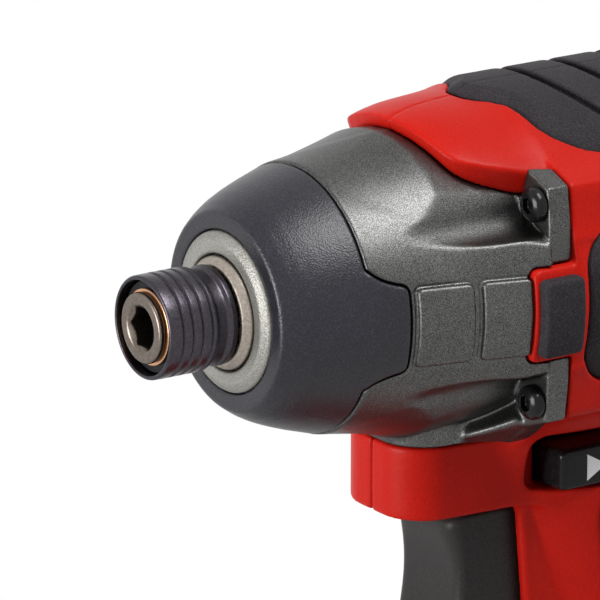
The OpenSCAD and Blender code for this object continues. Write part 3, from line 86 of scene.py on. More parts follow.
lamps = dict(
    overhead=dict(place=(-60, 330, 930), aim=(40, 0, 200), size=430, power=7.0, gloss=True),
    front=dict(place=(920, -60, 240), aim=(40, 0, 180), size=420, power=8.0, gloss=True),
    side=dict(place=(-460, 600, 60), aim=(0, 0, 140), size=400, power=1.4, gloss=False),
)
room = dict(  # its lengths are metres
    fill=0.05, paper=(0.93, 0.93, 0.93, 1), bounce=(0.3, 0.3, 0.3, 1), paperRough=0.9,
    shadowRadius=0.22, fadeRadius=0.38, floorSize=12.0, floorDrop=0.0001,
)


def makeLights():
    for name, lamp in lamps.items():
        panel = bpy.data.lights.new(name, "AREA")
        panel.shape = "SQUARE"
        panel.size = lamp["size"] * mm
        panel.energy = lamp["power"]
        piece = bpy.data.objects.new(name, panel)
        piece.location = Vector(lamp["place"]) * mm
        piece.rotation_mode = "QUATERNION"
        piece.rotation_quaternion = (Vector(lamp["place"]) - Vector(lamp["aim"])).to_track_quat("Z", "Y")
        piece.visible_camera = False
        piece.visible_glossy = lamp["gloss"]
        scene.collection.objects.link(piece)


def addNode(tree, kind, values=None, **settings):
    node = tree.nodes.new("ShaderNode" + kind)
    for name, value in settings.items():
        setattr(node, name, value)
    for name, value in (values or {}).items():
        node.inputs[name].default_value = value
    return node


# The white background is seen by the camera, and in gloss and glass
def seenRay(tree):
    path = addNode(tree, "LightPath")
    seen = path.outputs["Is Camera Ray"]
    for kind in ("Is Glossy Ray", "Is Transmission Ray"):
        larger = addNode(tree, "Math", operation="MAXIMUM")
        tree.links.new(seen, larger.inputs[0])
        tree.links.new(path.outputs[kind], larger.inputs[1])
        seen = larger.outputs[0]
    return seen


# Paper that takes the object's shadow near it and turns plain white further out
def paperFinish():
    material = bpy.data.materials.new("paperFloor")
    material.use_nodes = True
    tree = material.node_tree
    link = tree.links.new
    paper = tree.nodes["Principled BSDF"]
    paper.inputs["Roughness"].default_value = room["paperRough"]
    shown = seenRay(tree)
    colour = addNode(tree, "Mix", data_type="RGBA")
    colour.inputs["A"].default_value = room["bounce"]
    colour.inputs["B"].default_value = room["paper"]
    place = addNode(tree, "TexCoord")
    away = addNode(tree, "VectorMath", operation="LENGTH")
    fade = addNode(tree, "MapRange", {"From Min": room["shadowRadius"], "From Max": room["fadeRadius"]},
                   interpolation_type="SMOOTHSTEP")
    share = addNode(tree, "Math", operation="MULTIPLY")
    glow = addNode(tree, "Emission")
    mix = addNode(tree, "MixShader")
    link(shown, colour.inputs["Factor"])
    link(colour.outputs["Result"], paper.inputs["Base Color"])
    link(place.outputs["Object"], away.inputs[0])
    link(away.outputs["Value"], fade.inputs["Value"])
    link(fade.outputs["Result"], share.inputs[0])
    link(shown, share.inputs[1])
    link(share.outputs[0], mix.inputs["Fac"])
    link(paper.outputs[0], mix.inputs[1])
    link(glow.outputs[0], mix.inputs[2])
    link(mix.outputs[0], tree.nodes["Material Output"].inputs["Surface"])
    return material


def makeRoom():
    world = bpy.data.worlds.new("studio")
    scene.world = world
    world.use_nodes = True
    tree = world.node_tree
    background = tree.nodes["Background"]
    background.inputs["Color"].default_value = (1, 1, 1, 1)
    strength = addNode(tree, "MapRange", {"To Min": room["fill"], "To Max": 1.0})
    tree.links.new(seenRay(tree), strength.inputs["Value"])
    tree.links.new(strength.outputs["Result"], background.inputs["Strength"])
    mesh = bpy.data.meshes.new("floor")
    half = room["floorSize"] / 2
    corners = [(-half, -half, 0), (half, -half, 0), (half, half, 0), (-half, half, 0)]
    mesh.from_pydata(corners, [], [(0, 1, 2, 3)])
    mesh.materials.append(paperFinish())
    floor = bpy.data.objects.new("floor", mesh)
    floor.location.z = -room["floorDrop"]
    scene.collection.objects.link(floor)


makeLights()
makeRoom()
scene.view_settings.view_transform = "Standard"
print("camera, lights and floor made")


# Finishes: each is a base colour with grain, a roughness range and a fine bump. Grain and cloud are
# spots per millimetre

finishes = dict(
    redPlastic=dict(dark=(0.47, 0.008, 0.004), light=(0.57, 0.014, 0.006), grain=2.2, rough=(0.36, 0.46),
                    bump=0.05, shine=0.12),
    castGrey=dict(dark=(0.02, 0.02, 0.0195), light=(0.18, 0.18, 0.176), grain=6.0, metal=1.0,
                  rough=(0.32, 0.42), bump=0.35, contrast=(0.40, 0.68)),
    bareCast=dict(dark=(0.17, 0.166, 0.15), light=(0.36, 0.353, 0.323), grain=3.2, metal=0.7,
                  rough=(0.42, 0.54), bump=1.0),
    bumperBlack=dict(dark=(0.001, 0.001, 0.003), light=(0.030, 0.028, 0.044), grain=3.2,
                     rough=(0.28, 0.36), bump=0.8, shine=0.42, contrast=(0.46, 0.74)),
    blackRubber=dict(dark=(0.010, 0.009, 0.011), light=(0.070, 0.062, 0.068), grain=5.0, rough=(0.58, 0.7),
                     bump=0.4, shine=0.1, contrast=(0.42, 0.74)),
    sleeveBlack=dict(dark=(0.035, 0.031, 0.038), light=(0.08, 0.072, 0.085), grain=3.0, metal=1.0,
                     rough=(0.26, 0.34), bump=0.08),
    # painted shade: near-black for the sleeve washer, so it reads as the shaded gap round the anvil
    blackGap=dict(dark=(0.006, 0.006, 0.007), light=(0.012, 0.012, 0.014), grain=2.0, rough=(0.5, 0.6),
                  bump=0.05, shine=0.2),
    bitSteel=dict(dark=(0.12, 0.098, 0.082), light=(0.21, 0.177, 0.15), grain=2.4, metal=1.0,
                  rough=(0.26, 0.38), bump=0.06),
    # painted highlight and painted brown reflection: a lighter, browner copy of the anvil's steel for its
    # collar band
    collarSteel=dict(dark=(0.26, 0.225, 0.19), light=(0.46, 0.405, 0.355), grain=2.4, metal=0.8,
                     rough=(0.36, 0.46), bump=0.1),
    steel=dict(dark=(0.40, 0.40, 0.41), light=(0.56, 0.56, 0.57), grain=2.4, metal=1.0, rough=(0.25, 0.36),
               bump=0.05),
    springSteel=dict(dark=(0.08, 0.08, 0.09), light=(0.15, 0.15, 0.16), grain=2.4, metal=1.0,
                     rough=(0.28, 0.36), bump=0.04),
    copper=dict(dark=(0.52, 0.24, 0.11), light=(0.68, 0.36, 0.19), grain=2.2, metal=1.0,
                rough=(0.26, 0.36), bump=0.05),
    bronze=dict(dark=(0.42, 0.28, 0.11), light=(0.56, 0.39, 0.18), grain=2.6, metal=1.0,
                rough=(0.34, 0.46), bump=0.06),
    darkScrew=dict(dark=(0.004, 0.004, 0.005), light=(0.010, 0.010, 0.011), grain=1.6, rough=(0.16, 0.24),
                   bump=0.03, shine=0.2),
    plateAluminium=dict(dark=(0.42, 0.42, 0.43), light=(0.56, 0.56, 0.57), grain=3.0, metal=0.9,
                        rough=(0.38, 0.5), bump=0.1),
    lamination=dict(dark=(0.20, 0.20, 0.21), light=(0.32, 0.32, 0.33), grain=2.0, metal=0.8,
                    rough=(0.4, 0.5), bump=0.05),
    boardGreen=dict(dark=(0.010, 0.09, 0.035), light=(0.020, 0.14, 0.055), grain=0.9, rough=(0.3, 0.42),
                    bump=0.03),
    fanPlastic=dict(dark=(0.014, 0.014, 0.016), light=(0.028, 0.028, 0.031), grain=2.4, rough=(0.42, 0.52),
                    bump=0.08),
    triggerGrey=dict(dark=(0.020, 0.018, 0.018), light=(0.038, 0.035, 0.034), grain=2.6,
                     rough=(0.36, 0.45), bump=0.08, shine=0.12),
    sliderBlack=dict(dark=(0.006, 0.006, 0.007), light=(0.012, 0.012, 0.013), grain=1.8,
                     rough=(0.14, 0.22), bump=0.03, shine=0.14),
    markWhite=dict(dark=(0.76, 0.77, 0.80), light=(0.84, 0.85, 0.87), grain=2.0, rough=(0.40, 0.5),
                   bump=0.03),
    lightLens=dict(dark=(0.80, 0.82, 0.84), light=(0.90, 0.91, 0.92), grain=1.4, rough=(0.12, 0.2),
                   bump=0.02),
    packBlack=dict(dark=(0.016, 0.016, 0.018), light=(0.034, 0.033, 0.036), grain=3.0, rough=(0.44, 0.56),
                   bump=0.16, shine=0.25),
    cellWrap=dict(dark=(0.03, 0.10, 0.22), light=(0.05, 0.16, 0.32), grain=1.0, rough=(0.24, 0.34),
                  bump=0.02),
)
plainLook = dict(
    metal=0.0, shine=0.5, contrast=(0.32, 0.68), grainDetail=2.0, cloud=0.09, cloudDetail=3.0,
    cloudShare=0.3, bumpDepth=0.1,
)


def finishOf(name):
    done = bpy.data.materials.get(name)
    if done:
        return done
    look = {**plainLook, **finishes[name]}
    material = bpy.data.materials.new(name)
    material.use_nodes = True
    tree = material.node_tree
    link = tree.links.new
    shader = tree.nodes["Principled BSDF"]
    shader.inputs["Metallic"].default_value = look["metal"]
    shader.inputs["Specular IOR Level"].default_value = look["shine"]
    place = addNode(tree, "TexCoord")
    grain = addNode(tree, "TexNoise", {"Scale": look["grain"] / mm, "Detail": look["grainDetail"]})
    cloud = addNode(tree, "TexNoise", {"Scale": look["cloud"] / mm, "Detail": look["cloudDetail"]})
    low, high = look["contrast"]
    sharper = addNode(tree, "MapRange", {"From Min": low, "From Max": high})
    blend = addNode(tree, "Mix", {"Factor": look["cloudShare"]})
    colour = addNode(tree, "Mix", data_type="RGBA")
    colour.inputs["A"].default_value = (*look["dark"], 1)
    colour.inputs["B"].default_value = (*look["light"], 1)
    low, high = look["rough"]
    rough = addNode(tree, "MapRange", {"To Min": low, "To Max": high})
    bump = addNode(tree, "Bump", {"Strength": look["bump"], "Distance": look["bumpDepth"] * mm})
    for noise in (grain, cloud):
        link(place.outputs["Object"], noise.inputs["Vector"])
    link(grain.outputs["Fac"], sharper.inputs["Value"])
    link(sharper.outputs["Result"], blend.inputs["A"])
    link(cloud.outputs["Fac"], blend.inputs["B"])
    link(blend.outputs["Result"], colour.inputs["Factor"])
    link(colour.outputs["Result"], shader.inputs["Base Color"])
    link(cloud.outputs["Fac"], rough.inputs["Value"])
    link(rough.outputs["Result"], shader.inputs["Roughness"])
    link(grain.outputs["Fac"], bump.inputs["Height"])
    link(bump.outputs["Normal"], shader.inputs["Normal"])
    return material


# A slot's finish has the slot's name in camel case. The release shares the housing's red
def slotFinish(slot):
    first, *rest = dict(release_red="red_plastic").get(slot, slot).split("_")
    return finishOf(first + "".join(word.capitalize() for word in rest))


for part in frame["record"]["subparts"]:
    mesh = nodes[part["node"]].data
    mesh.materials.clear()
    mesh.materials.append(slotFinish(part["material_slot"]))
# The sleeve washer gets near-black painted shade in place of its own finish, so it reads as a shaded gap
nodes["sleeve_washer"].data.materials[0] = finishOf("blackGap")
print("finishes made:", len(bpy.data.materials))


# Solid fields: a piece is drawn as distances from its faces, joined and cut, and then skinned. The last
# number of a join or cut is the width of its blend, in millimetres

skinning = dict(margin=4, quickCell=1.7, slopeStep=0.6, radiusStep=0.1, sharpAngle=32.0)


def both(a, b, soft=0.0):
    if not soft:
        return np.maximum(a, b)
    near = np.maximum(soft - np.abs(a - b), 0) / soft
    return np.maximum(a, b) + near * near * (soft * 0.25)


def either(a, b, soft=0.0):
    return -both(-a, -b, soft)


def without(a, b, soft=0.0):
    return both(a, -b, soft)


def span(v, low, high):
    return np.abs(v - (low + high) / 2) - (high - low) / 2


def brick(x, y, z, low, high, soft=0.0):
    sides = [span(v, a, b) for v, a, b in zip((x, y, z), low, high)]
    return both(both(sides[0], sides[1], soft), sides[2], soft)


def rounded(u, v, low, high, corner):
    du, dv = span(u, low[0], high[0]) + corner, span(v, low[1], high[1]) + corner
    return np.hypot(np.maximum(du, 0), np.maximum(dv, 0)) + np.minimum(np.maximum(du, dv), 0) - corner


# Distance from a closed outline in a plane
def outline(u, v, points):
    points = np.asarray(points, float)
    best = np.full(np.broadcast(u, v).shape, np.inf)
    inside = np.zeros(best.shape, bool)
    for a, b in zip(points, np.roll(points, -1, axis=0)):
        edge = b - a
        if not edge.any():
            continue
        t = np.clip(((u - a[0]) * edge[0] + (v - a[1]) * edge[1]) / (edge @ edge), 0, 1)
        best = np.minimum(best, np.hypot(u - a[0] - t * edge[0], v - a[1] - t * edge[1]))
        if a[1] != b[1]:
            inside ^= ((a[1] > v) != (b[1] > v)) & (u < (b[0] - a[0]) * (v - a[1]) / (b[1] - a[1]) + a[0])
    return np.where(inside, -best, best).astype(np.float32)


# The same for an outline turned about the spindle
def turned(x, r, profile):
    step = skinning["radiusStep"]
    places = np.arange(0, float(r.max()) + 2 * step, step)
    table = outline(x.reshape(-1, 1), places[None, :], profile)
    flat = r.reshape(-1)
    return np.stack([np.interp(flat, places, row).reshape(r.shape[1:]) for row in table]).astype(np.float32)


# A point's third number rounds its corner
def eased(points, steps=5):
    soft = []
    for i, point in enumerate(points):
        corner = np.array(point[:2], float)
        radius = point[2] if len(point) > 2 else 0
        if not radius:
            soft.append(tuple(corner))
            continue
        arms = [np.array(points[(i + k) % len(points)][:2], float) - corner for k in (-1, 1)]
        ways = [arm / np.linalg.norm(arm) for arm in arms]
        half = math.acos(np.clip(ways[0] @ ways[1], -1, 1)) / 2
        middle = corner + (ways[0] + ways[1]) / np.linalg.norm(ways[0] + ways[1]) * radius / math.sin(half)
        ends = [corner + way * radius / math.tan(half) - middle for way in ways]
        angles = [math.atan2(end[1], end[0]) for end in ends]
        swing = (angles[1] - angles[0] + math.pi) % (2 * math.pi) - math.pi
        for k in range(steps + 1):
            a = angles[0] + swing * k / steps
            soft.append((middle[0] + radius * math.cos(a), middle[1] + radius * math.sin(a)))
    return soft


# Smooth curve through stations
def curve(stations, at):
    place, value = np.asarray(stations, float).T
    slope = np.gradient(value, place)
    slope[0], slope[-1] = np.diff(value)[0] / np.diff(place)[0], np.diff(value)[-1] / np.diff(place)[-1]
    at = np.clip(at, place[0], place[-1])
    i = np.clip(np.searchsorted(place, at) - 1, 0, len(place) - 2)
    step = place[i + 1] - place[i]
    t = (at - place[i]) / step
    return (value[i] * (2 * t**3 - 3 * t**2 + 1) + slope[i] * step * (t**3 - 2 * t**2 + t)
            + value[i + 1] * (3 * t**2 - 2 * t**3) + slope[i + 1] * step * (t**3 - t**2))


# Each value becomes half itself and a quarter of each neighbour, along each axis in turn
def softened(field):
    for axis in range(3):
        inner = [slice(None)] * 3
        lower, upper = list(inner), list(inner)
        inner[axis], lower[axis], upper[axis] = slice(1, -1), slice(0, -2), slice(2, None)
        inner, lower, upper = tuple(inner), tuple(lower), tuple(upper)
        blurred = field.copy()
        blurred[inner] = field[inner] * 0.5 + (field[lower] + field[upper]) * 0.25
        field = blurred
    return field


# Values of a field between its cells
def sampled(field, places):
    base = np.clip(np.floor(places).astype(int), 0, np.array(field.shape) - 2)
    share = places - base
    total = 0
    for i in (0, 1):
        for j in (0, 1):
            for k in (0, 1):
                weight = (np.abs(1 - i - share[:, 0]) * np.abs(1 - j - share[:, 1])
                          * np.abs(1 - k - share[:, 2]))
                total = total + weight * field[base[:, 0] + i, base[:, 1] + j, base[:, 2] + k]
    return total


def slopes(field, points):
    slope = np.stack([sampled(field, points + step) - sampled(field, points - step)
                      for step in np.eye(3) * skinning["slopeStep"]], axis=1)
    return slope / np.maximum(np.linalg.norm(slope, axis=1, keepdims=True), 1e-9)


# The surface of a drawing, as points, faces and the field's own slope for smooth shading
def surfaced(drawing, low, high, cell, flat=0.004, uncut=None):
    band = skinning["margin"] * cell
    axes = [np.arange(a - band, b + band, cell, dtype=np.float32) for a, b in zip(low, high)]
    x, y, z = axes[0][:, None, None], axes[1][None, :, None], axes[2][None, None, :]
    shape = tuple(len(a) for a in axes)
    field = softened(np.broadcast_to(drawing(x, y, z), shape).astype(np.float32))
    volume = openvdb.FloatGrid(band)
    volume.copyFromArray(np.clip(field, -band, band))
    points, triangles, quads = volume.convertToPolygons(0.0, flat)
    points = np.asarray(points, float)
    slope = slopes(field, points)
    if uncut:
        skin = softened(np.broadcast_to(uncut.pop("skin"), shape).astype(np.float32))
        near = np.nonzero(points[:, 1] * cell + float(axes[1][0]) < cell)[0]
        depth = sampled(skin, points[near])
        near, depth = near[depth > -cell], depth[depth > -cell]
        slope[near] = slopes(skin, points[near])
        points[near] -= slope[near] * (1, 0, 1) * depth[:, None] / cell
    points = points * cell + np.array([float(a[0]) for a in axes])
    return points, np.asarray(triangles, int).reshape(-1, 3), np.asarray(quads, int).reshape(-1, 4), slope


straight = ((1, 0, 0), (0, 1, 0), (0, 0, 1))
mirror = ((1, 0, 0), (0, -1, 0), (0, 0, 1))


def meshed(name, surface, turn=straight, move=(0, 0, 0)):
    points, triangles, quads, slope = surface
    turn = np.asarray(turn, float)
    points, slope = points @ turn.T + np.asarray(move, float), slope @ turn.T
    if np.linalg.det(turn) < 0:
        triangles, quads = triangles[:, ::-1], quads[:, ::-1]
    mesh = bpy.data.meshes.new(name)
    corners = np.concatenate([triangles.ravel(), quads.ravel()])
    starts = np.concatenate([np.arange(len(triangles)) * 3, len(triangles) * 3 + np.arange(len(quads)) * 4])
    mesh.vertices.add(len(points))
    mesh.vertices.foreach_set("co", (points * mm).astype(np.float32).ravel())
    mesh.loops.add(len(corners))
    mesh.loops.foreach_set("vertex_index", corners.astype(np.int32))
    mesh.polygons.add(len(starts))
    mesh.polygons.foreach_set("loop_start", starts.astype(np.int32))
    mesh.update(calc_edges=True)
    mesh.validate()
    mesh.polygons.foreach_set("use_smooth", np.ones(len(mesh.polygons), bool))
    if len(mesh.vertices) == len(slope):
        mesh.normals_split_custom_set_from_vertices(slope.tolist())
    piece = bpy.data.objects.new(name, mesh)
    scene.collection.objects.link(piece)
    print("skinned", name, len(triangles) + 2 * len(quads), "triangles")
    return piece


def skinned(name, drawing, piece):
    return meshed(name, surfaced(drawing, *piece["box"], piece["cell"]))


def fitted(piece, body, slot, *replaced):
    piece.data.materials.append(slotFinish(slot))
    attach(piece, body)
    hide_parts(*replaced)
    return piece


def headSpace(x, y, z):
    u, w = x - head["noseX"], z - head["axisZ"]
    return u, w, np.hypot(y, w)


# Mesh of given points and faces, with its faces turned outwards
def faced(name, points, faces):
    mesh = bpy.data.meshes.new(name)
    mesh.from_pydata(points, [], faces)
    shaper = bmesh.new()
    shaper.from_mesh(mesh)
    bmesh.ops.recalc_face_normals(shaper, faces=shaper.faces)
    shaper.to_mesh(mesh)
    shaper.free()
    piece = bpy.data.objects.new(name, mesh)
    scene.collection.objects.link(piece)
    return piece


# Ring or sleeve turned about the spindle, with its corners eased
def spun(name, profile, count=160):
    ring = eased(profile)
    angles = np.linspace(0, 2 * math.pi, count, endpoint=False)
    points = [((u + head["noseX"]) * mm, r * math.cos(a) * mm, (r * math.sin(a) + head["axisZ"]) * mm)
              for u, r in ring for a in angles]
    faces = []
    for i in range(len(ring)):
        for k in range(count):
            a, b = i * count + k, i * count + (k + 1) % count
            c, d = (i + 1) % len(ring) * count + (k + 1) % count, (i + 1) % len(ring) * count + k
            faces.append((a, b, c, d))
    piece = faced(name, points, faces)
    mesh = piece.data
    mesh.polygons.foreach_set("use_smooth", np.ones(len(mesh.polygons), bool))
    mesh.set_sharp_from_angle(angle=math.radians(skinning["sharpAngle"]))
    print("turned", name, len(faces) * 2, "triangles")
    return piece


# Hammer case

case = dict(
    seamX=-15.3, frontR=23.0, flareX=-48.0, flangeX=-51.0, flangeR=31.2, flarePower=1.25, bodyR=26.3,
    scoopR=25.95, scoopRun=6.0, seamR=20.9, screwRing=30.2, screwAngle=34.6, seatX=-46.6, channelR=5.4,
    channelX=-47.9, seatStep=0.8, screwR=2.2, screwEndX=-40.0, ledgeZ=-27.2, ledgeTop=-20.0, ledgeRise=2.2,
    flangePlate=3.2, padRise=0.7, padZ=(-7.4, 6.1), padX=((-32.7, -23.1), (-42.5, -34.2)), padCorner=0.8,
    padGroove=(0.22, 0.24, 0.4), footX=-40.5, footZ=-24.6, footRise=0.75, troughWay=(0.866, 0.5, 25.0),
    wallWay=(0.47, 0.883, 23.2), sideFlat=28.5, tabGap=0.12, browGap=(0.22, 0.25, 0.1), tongueGap=0.2,
    slotRun=2.0, cell=0.3, box=((18.4, -34.2, 168.0), (70.3, 34.2, 232.0)),
    ear=[(19.0, 15.25), (29.2, 10.93), (28.6, 13.0), (27.6, 20.3), (22.0, 22.5), (19.0, 23.0)],
)
boss = dict(mouthR=9.95, outR=13.7, bevel=1.5, bevelX=-0.9, ring=(-2.9, 1.0, 0.0, 14.0))
case["nose"] = [
    (0, boss["mouthR"]), (0, boss["outR"] - boss["bevel"]), (boss["bevelX"], boss["outR"]),
    (-3.0, boss["outR"]), (-3.0, 15.47), (-3.6, 16.0), (-7.85, 18.8), (case["seamX"], case["seamR"]),
]
case["room"] = [
    (-52, 23.35), (-46.05, 23.35), (-46.05, 20.5), (-21.6, 20.5), (-21.6, 18.5), (-14.0, 18.5),
    (-14.0, 13.85), (-13.3, 13.85), (-13.3, 11.3), (-2.25, 11.3), (-2.25, boss["mouthR"]),
    (1, boss["mouthR"]), (1, 0), (-52, 0),
]


def flareR(x):
    c = case
    share = np.clip((c["seamX"] - x) / (c["seamX"] - c["flareX"]), 0, 1)
    return c["frontR"] + (c["flangeR"] - c["frontR"]) * share ** c["flarePower"]


def flare(rise=0.0, count=14):
    xs = np.linspace(case["seamX"], case["flareX"], count)
    return [(x, flareR(x) + rise) for x in xs] + [(case["flangeX"], case["flangeR"] + rise)]


def screwAway(y, w):
    a = math.radians(case["screwAngle"])
    return np.hypot(np.abs(y) - case["screwRing"] * math.cos(a),
                    np.abs(w) - case["screwRing"] * math.sin(a))


chin = dict(
    frontX=-30.4, width=22.0, flare=3.2, corner=7.5, backX=-72.0, lowZ=-40.3, topZ=-27.3, edge=0.5,
)


def chinPlan(u, y):
    c = chin
    share = np.clip((c["frontX"] - u) / (c["frontX"] - c["backX"]), 0, 1)
    half = c["width"] / 2 + c["flare"] * share
    du = np.maximum(u - c["frontX"], c["backX"] - u) + c["corner"]
    dy = np.abs(y) - half + c["corner"]
    return np.hypot(np.maximum(du, 0), np.maximum(dy, 0)) + np.minimum(np.maximum(du, dy), 0) - c["corner"]


tongue = dict(frontX=-42.6, backX=-54.0, half=8.1, shift=-0.8, corner=1.3, inR=28.2, outR=30.6)
brow = dict(
    plan=[(-34.4, 0), (-34.4, 3.2), (-34.8, 7.5), (-35.4, 11.1), (-36.0, 13.6), (-36.9, 15.1),
          (-38.1, 16.1), (-39.8, 17.0), (-41.1, 17.6), (-44.3, 18.7), (-47.6, 19.7), (-54.0, 21.0),
          (-54.0, -6.0), (-34.4, -6.0)],
    topX=(-56.0, -51.1, -48.0, -43.0, -39.0, -36.5, -35.0, -33.0),
    topR=(31.0, 30.8, 30.4, 30.1, 29.7, 29.15, 28.7, 27.9), seatR=25.85, lowZ=17.7, crease=0.3, lean=0.35,
    notchR=5.0, notchGap=0.3,
)


def browPlan(u, y, r):
    return outline(u, np.abs(y), brow["plan"]) - brow["lean"] * (r - brow["seatR"])


def drawCase(x, y, z):
    c = case
    u, w, r = headSpace(x, y, z)
    slim = [p for p in flare() if p[1] < c["bodyR"]]
    share = ((c["bodyR"] - c["frontR"]) / (c["flangeR"] - c["frontR"])) ** (1 / c["flarePower"])
    meetX = c["seamX"] - (c["seamX"] - c["flareX"]) * share
    body = turned(u, r, c["nose"] + slim + [(meetX, c["bodyR"]), (meetX - c["scoopRun"], c["scoopR"]),
                                            (c["flangeX"], c["scoopR"]), (c["flangeX"], 0), (0, 0)])
    wide = turned(u, r, [(c["seamX"], 0), *flare(), (c["flangeX"], 0)])
    raised = turned(u, r, [(c["seamX"], 0), *flare(c["padRise"]), (c["flangeX"], 0)])
    trough, wall = (np.abs(y) * a + np.abs(w) * b - d for a, b, d in (c["troughWay"], c["wallWay"]))
    solid = either(both(body, trough, 0.3), both(wide, wall, 0.3), 0.6)
    ledge = both(both(chinPlan(u, y), wide - c["ledgeRise"], 0.8),
                 both(w - c["ledgeTop"], u - chin["frontX"]))
    solid = either(solid, ledge, 1.0)
    solid = either(solid, both(wide, u - (c["flangeX"] + c["flangePlate"])), 0.8)
    bank = (w - c["footZ"] + c["footRise"] * (u - c["footX"])) / math.hypot(1, c["footRise"])
    solid = either(solid, both(both(wide, u - c["footX"], 0.6), bank, 1.5), 1.2)
    away = screwAway(y, w)
    solid = without(solid, both(away - c["channelR"], c["channelX"] - u), 0.4)
    ears = both(outline(np.abs(y), np.abs(w), c["ear"]), span(u, c["flangeX"], c["seatX"]), 0.35)
    solid = either(solid, ears, 0.3)
    solid = without(solid, both(away - c["channelR"] + c["seatStep"], c["seatX"] - u), 0.3)
    grooveAt, grooveHalf, grooveDepth = c["padGroove"]
    for back, front in c["padX"]:
        edge = rounded(u, w, (back, c["padZ"][0]), (front, c["padZ"][1]), c["padCorner"])
        solid = either(solid, both(raised, edge, 0.25))
        solid = without(solid, both(np.abs(edge - grooveAt) - grooveHalf, -(wide + grooveDepth)), 0.1)
    solid = without(solid, both(c["sideFlat"] - np.abs(y), u - c["seatX"]), 0.3)
    solid = without(solid, turned(u, r, c["room"]))
    solid = without(solid, both(away - c["screwR"], u - c["screwEndX"]))
    solid = without(solid, tabSpace(u, w, r, c["tabGap"]))
    planGap, lowGap, seatGap = c["browGap"]
    planHole = both(browPlan(u, y, r) - planGap, brow["lowZ"] - lowGap - w)
    solid = without(solid, both(planHole, brow["seatR"] - seatGap - r))
    gap = c["tongueGap"]
    slot = rounded(u, w, (c["flangeX"] - c["slotRun"], tongue["shift"] - tongue["half"] - gap),
                   (tongue["frontX"] + gap, tongue["shift"] + tongue["half"] + gap), tongue["corner"] + gap)
    solid = without(solid, both(slot, tongue["inR"] - gap - r))
    return both(solid, c["ledgeZ"] - w, 0.3)


# Bumper on the nose of the case

bumper = dict(
    outside=[(-0.9, 16.7), (-1.2, 17.1), (-3.0, 18.4), (-5.0, 19.5), (-7.5, 20.55), (-10.5, 21.6),
             (-14.8, 22.9), (-15.1, 22.5)],
    inside=[(-15.2, 21.0), (-7.85, 18.95), (-3.6, 16.15), (-2.9, 15.6), (-2.9, 13.85), (-0.9, 13.85)],
    tab=[(-9.0, 9.9), (-15.3, 9.7), (-16.2, 8.9), (-17.3, 8.15), (-18.6, 7.55), (-20.0, 7.1),
         (-21.95, 6.7, 1.5), (-21.95, -8.2, 1.5), (-20.0, -8.5), (-18.6, -8.95), (-17.4, -9.35),
         (-16.2, -9.95), (-15.3, -10.8), (-9.0, -11.0)],
    thickness=2.0, tabGap=0.1, tabRise=0.3, tabX=-3.2, tabR=15.2, noseR=14.0, startX=-14.0, lap=0.4,
    lapRise=0.1, reach=60.0, cell=0.3, box=((47.0, -27.0, 173.0), (69.5, 27.0, 227.0)),
)


def tabSpace(u, w, r, gap):
    b, c = bumper, case
    side = outline(u, w, eased(b["tab"])) - gap
    under = [(0, b["reach"]), (0, b["noseR"]), (b["tabX"] - gap, b["tabR"] - gap),
             (c["seamX"], c["seamR"] - gap)]
    under += [(place, radius - b["thickness"] - gap) for place, radius in flare()[1:]]
    return both(side, turned(u, r, under + [(c["flangeX"], b["reach"])]))


def drawBumper(x, y, z):
    b, c = bumper, case
    u, w, r = headSpace(x, y, z)
    ring = turned(u, r, b["outside"] + b["inside"])
    side = outline(u, w, eased(b["tab"])) + b["tabGap"]
    start = c["seamX"] + b["lap"]
    top = turned(u, r, [(start, 0), (start, c["frontR"] + b["lapRise"]), *flare(b["tabRise"]),
                        (c["flangeX"], 0)])
    under = [(b["startX"], b["reach"]), (b["startX"], c["seamR"])]
    under += [(place, radius - b["thickness"]) for place, radius in flare()]
    tab = both(both(side, top, 0.5), turned(u, r, under + [(c["flangeX"], b["reach"])]))
    return either(ring, tab, 0.5)


casePiece = skinned("castHammerCase", drawCase, case)
fitted(casePiece, "tool", "cast_grey", "hammer_case")
bumperPiece = skinned("noseBumper", drawBumper, bumper)
fitted(bumperPiece, "tool", "bumper_black", "nose_bumper")


# The ring of a piece that lies between two places and two radii gets a finish of its own
def ringFinish(piece, finish, backX, frontX, lowR, highR):
    piece.data.materials.append(finishOf(finish))
    count = len(piece.data.polygons)
    centres = np.empty(count * 3, np.float32)
    piece.data.polygons.foreach_get("center", centres)
    u, y, w = (centres.reshape(-1, 3) / mm - (head["noseX"], 0, head["axisZ"])).T
    r = np.hypot(y, w)
    ring = (u > backX) & (u < frontX) & (r > lowR) & (r < highR)
    piece.data.polygons.foreach_set("material_index", ring.astype(np.int32))


ringFinish(casePiece, "bareCast", *boss["ring"])
print("hammer case and bumper made")


# Chuck: anvil with its socket, sleeve, clip ring and seal

anvil = dict(
    profile=[(-21.25, 0), (-21.25, 8.7), (-0.95, 8.7), (-0.95, 9.6), (0.0, 9.6, 0.2), (1.25, 8.6, 0.3),
             (1.25, 6.0), (15.6, 6.0, 0.4), (15.6, 0)],
    frontX=15.6, wing=(-21.25, -14.25), wingR=17.8, wingHalf=4.8, socketHalf=3.25, socketX=-6.4,
    mouthR=4.1, mouthSlope=0.7071, clip=(13.6, 14.4, 5.6), ballX=5.2, ballR=1.65, pilotR=4.05,
    pilotX=-14.25, collar=(-1.1, 1.4, 8.0, 9.9), cell=0.2, box=((48.2, -18.2, 181.8), (86.0, 18.2, 218.2)),
)
sleeve = dict(
    profile=[(1.6, 7.9, 0.3), (1.9, 8.5, 0.4), (2.9, 8.5, 0.5), (3.5, 8.05, 0.8), (5.4, 8.05, 0.5),
             (5.9, 8.75, 0.3)],
    front=[(15.2, 8.75, 0.45), (15.2, 8.0, 0.2), (6.6, 8.0), (6.6, 6.05), (3.8, 6.05), (3.2, 7.0),
           (1.6, 7.0)],
    grooves=(6.9, 8.8, 10.7, 12.6), grooveR=8.8, grooveHalf=0.45, grooveDepth=0.55, grooveLean=0.7,
    rimRound=0.12, floorRound=0.08,
)
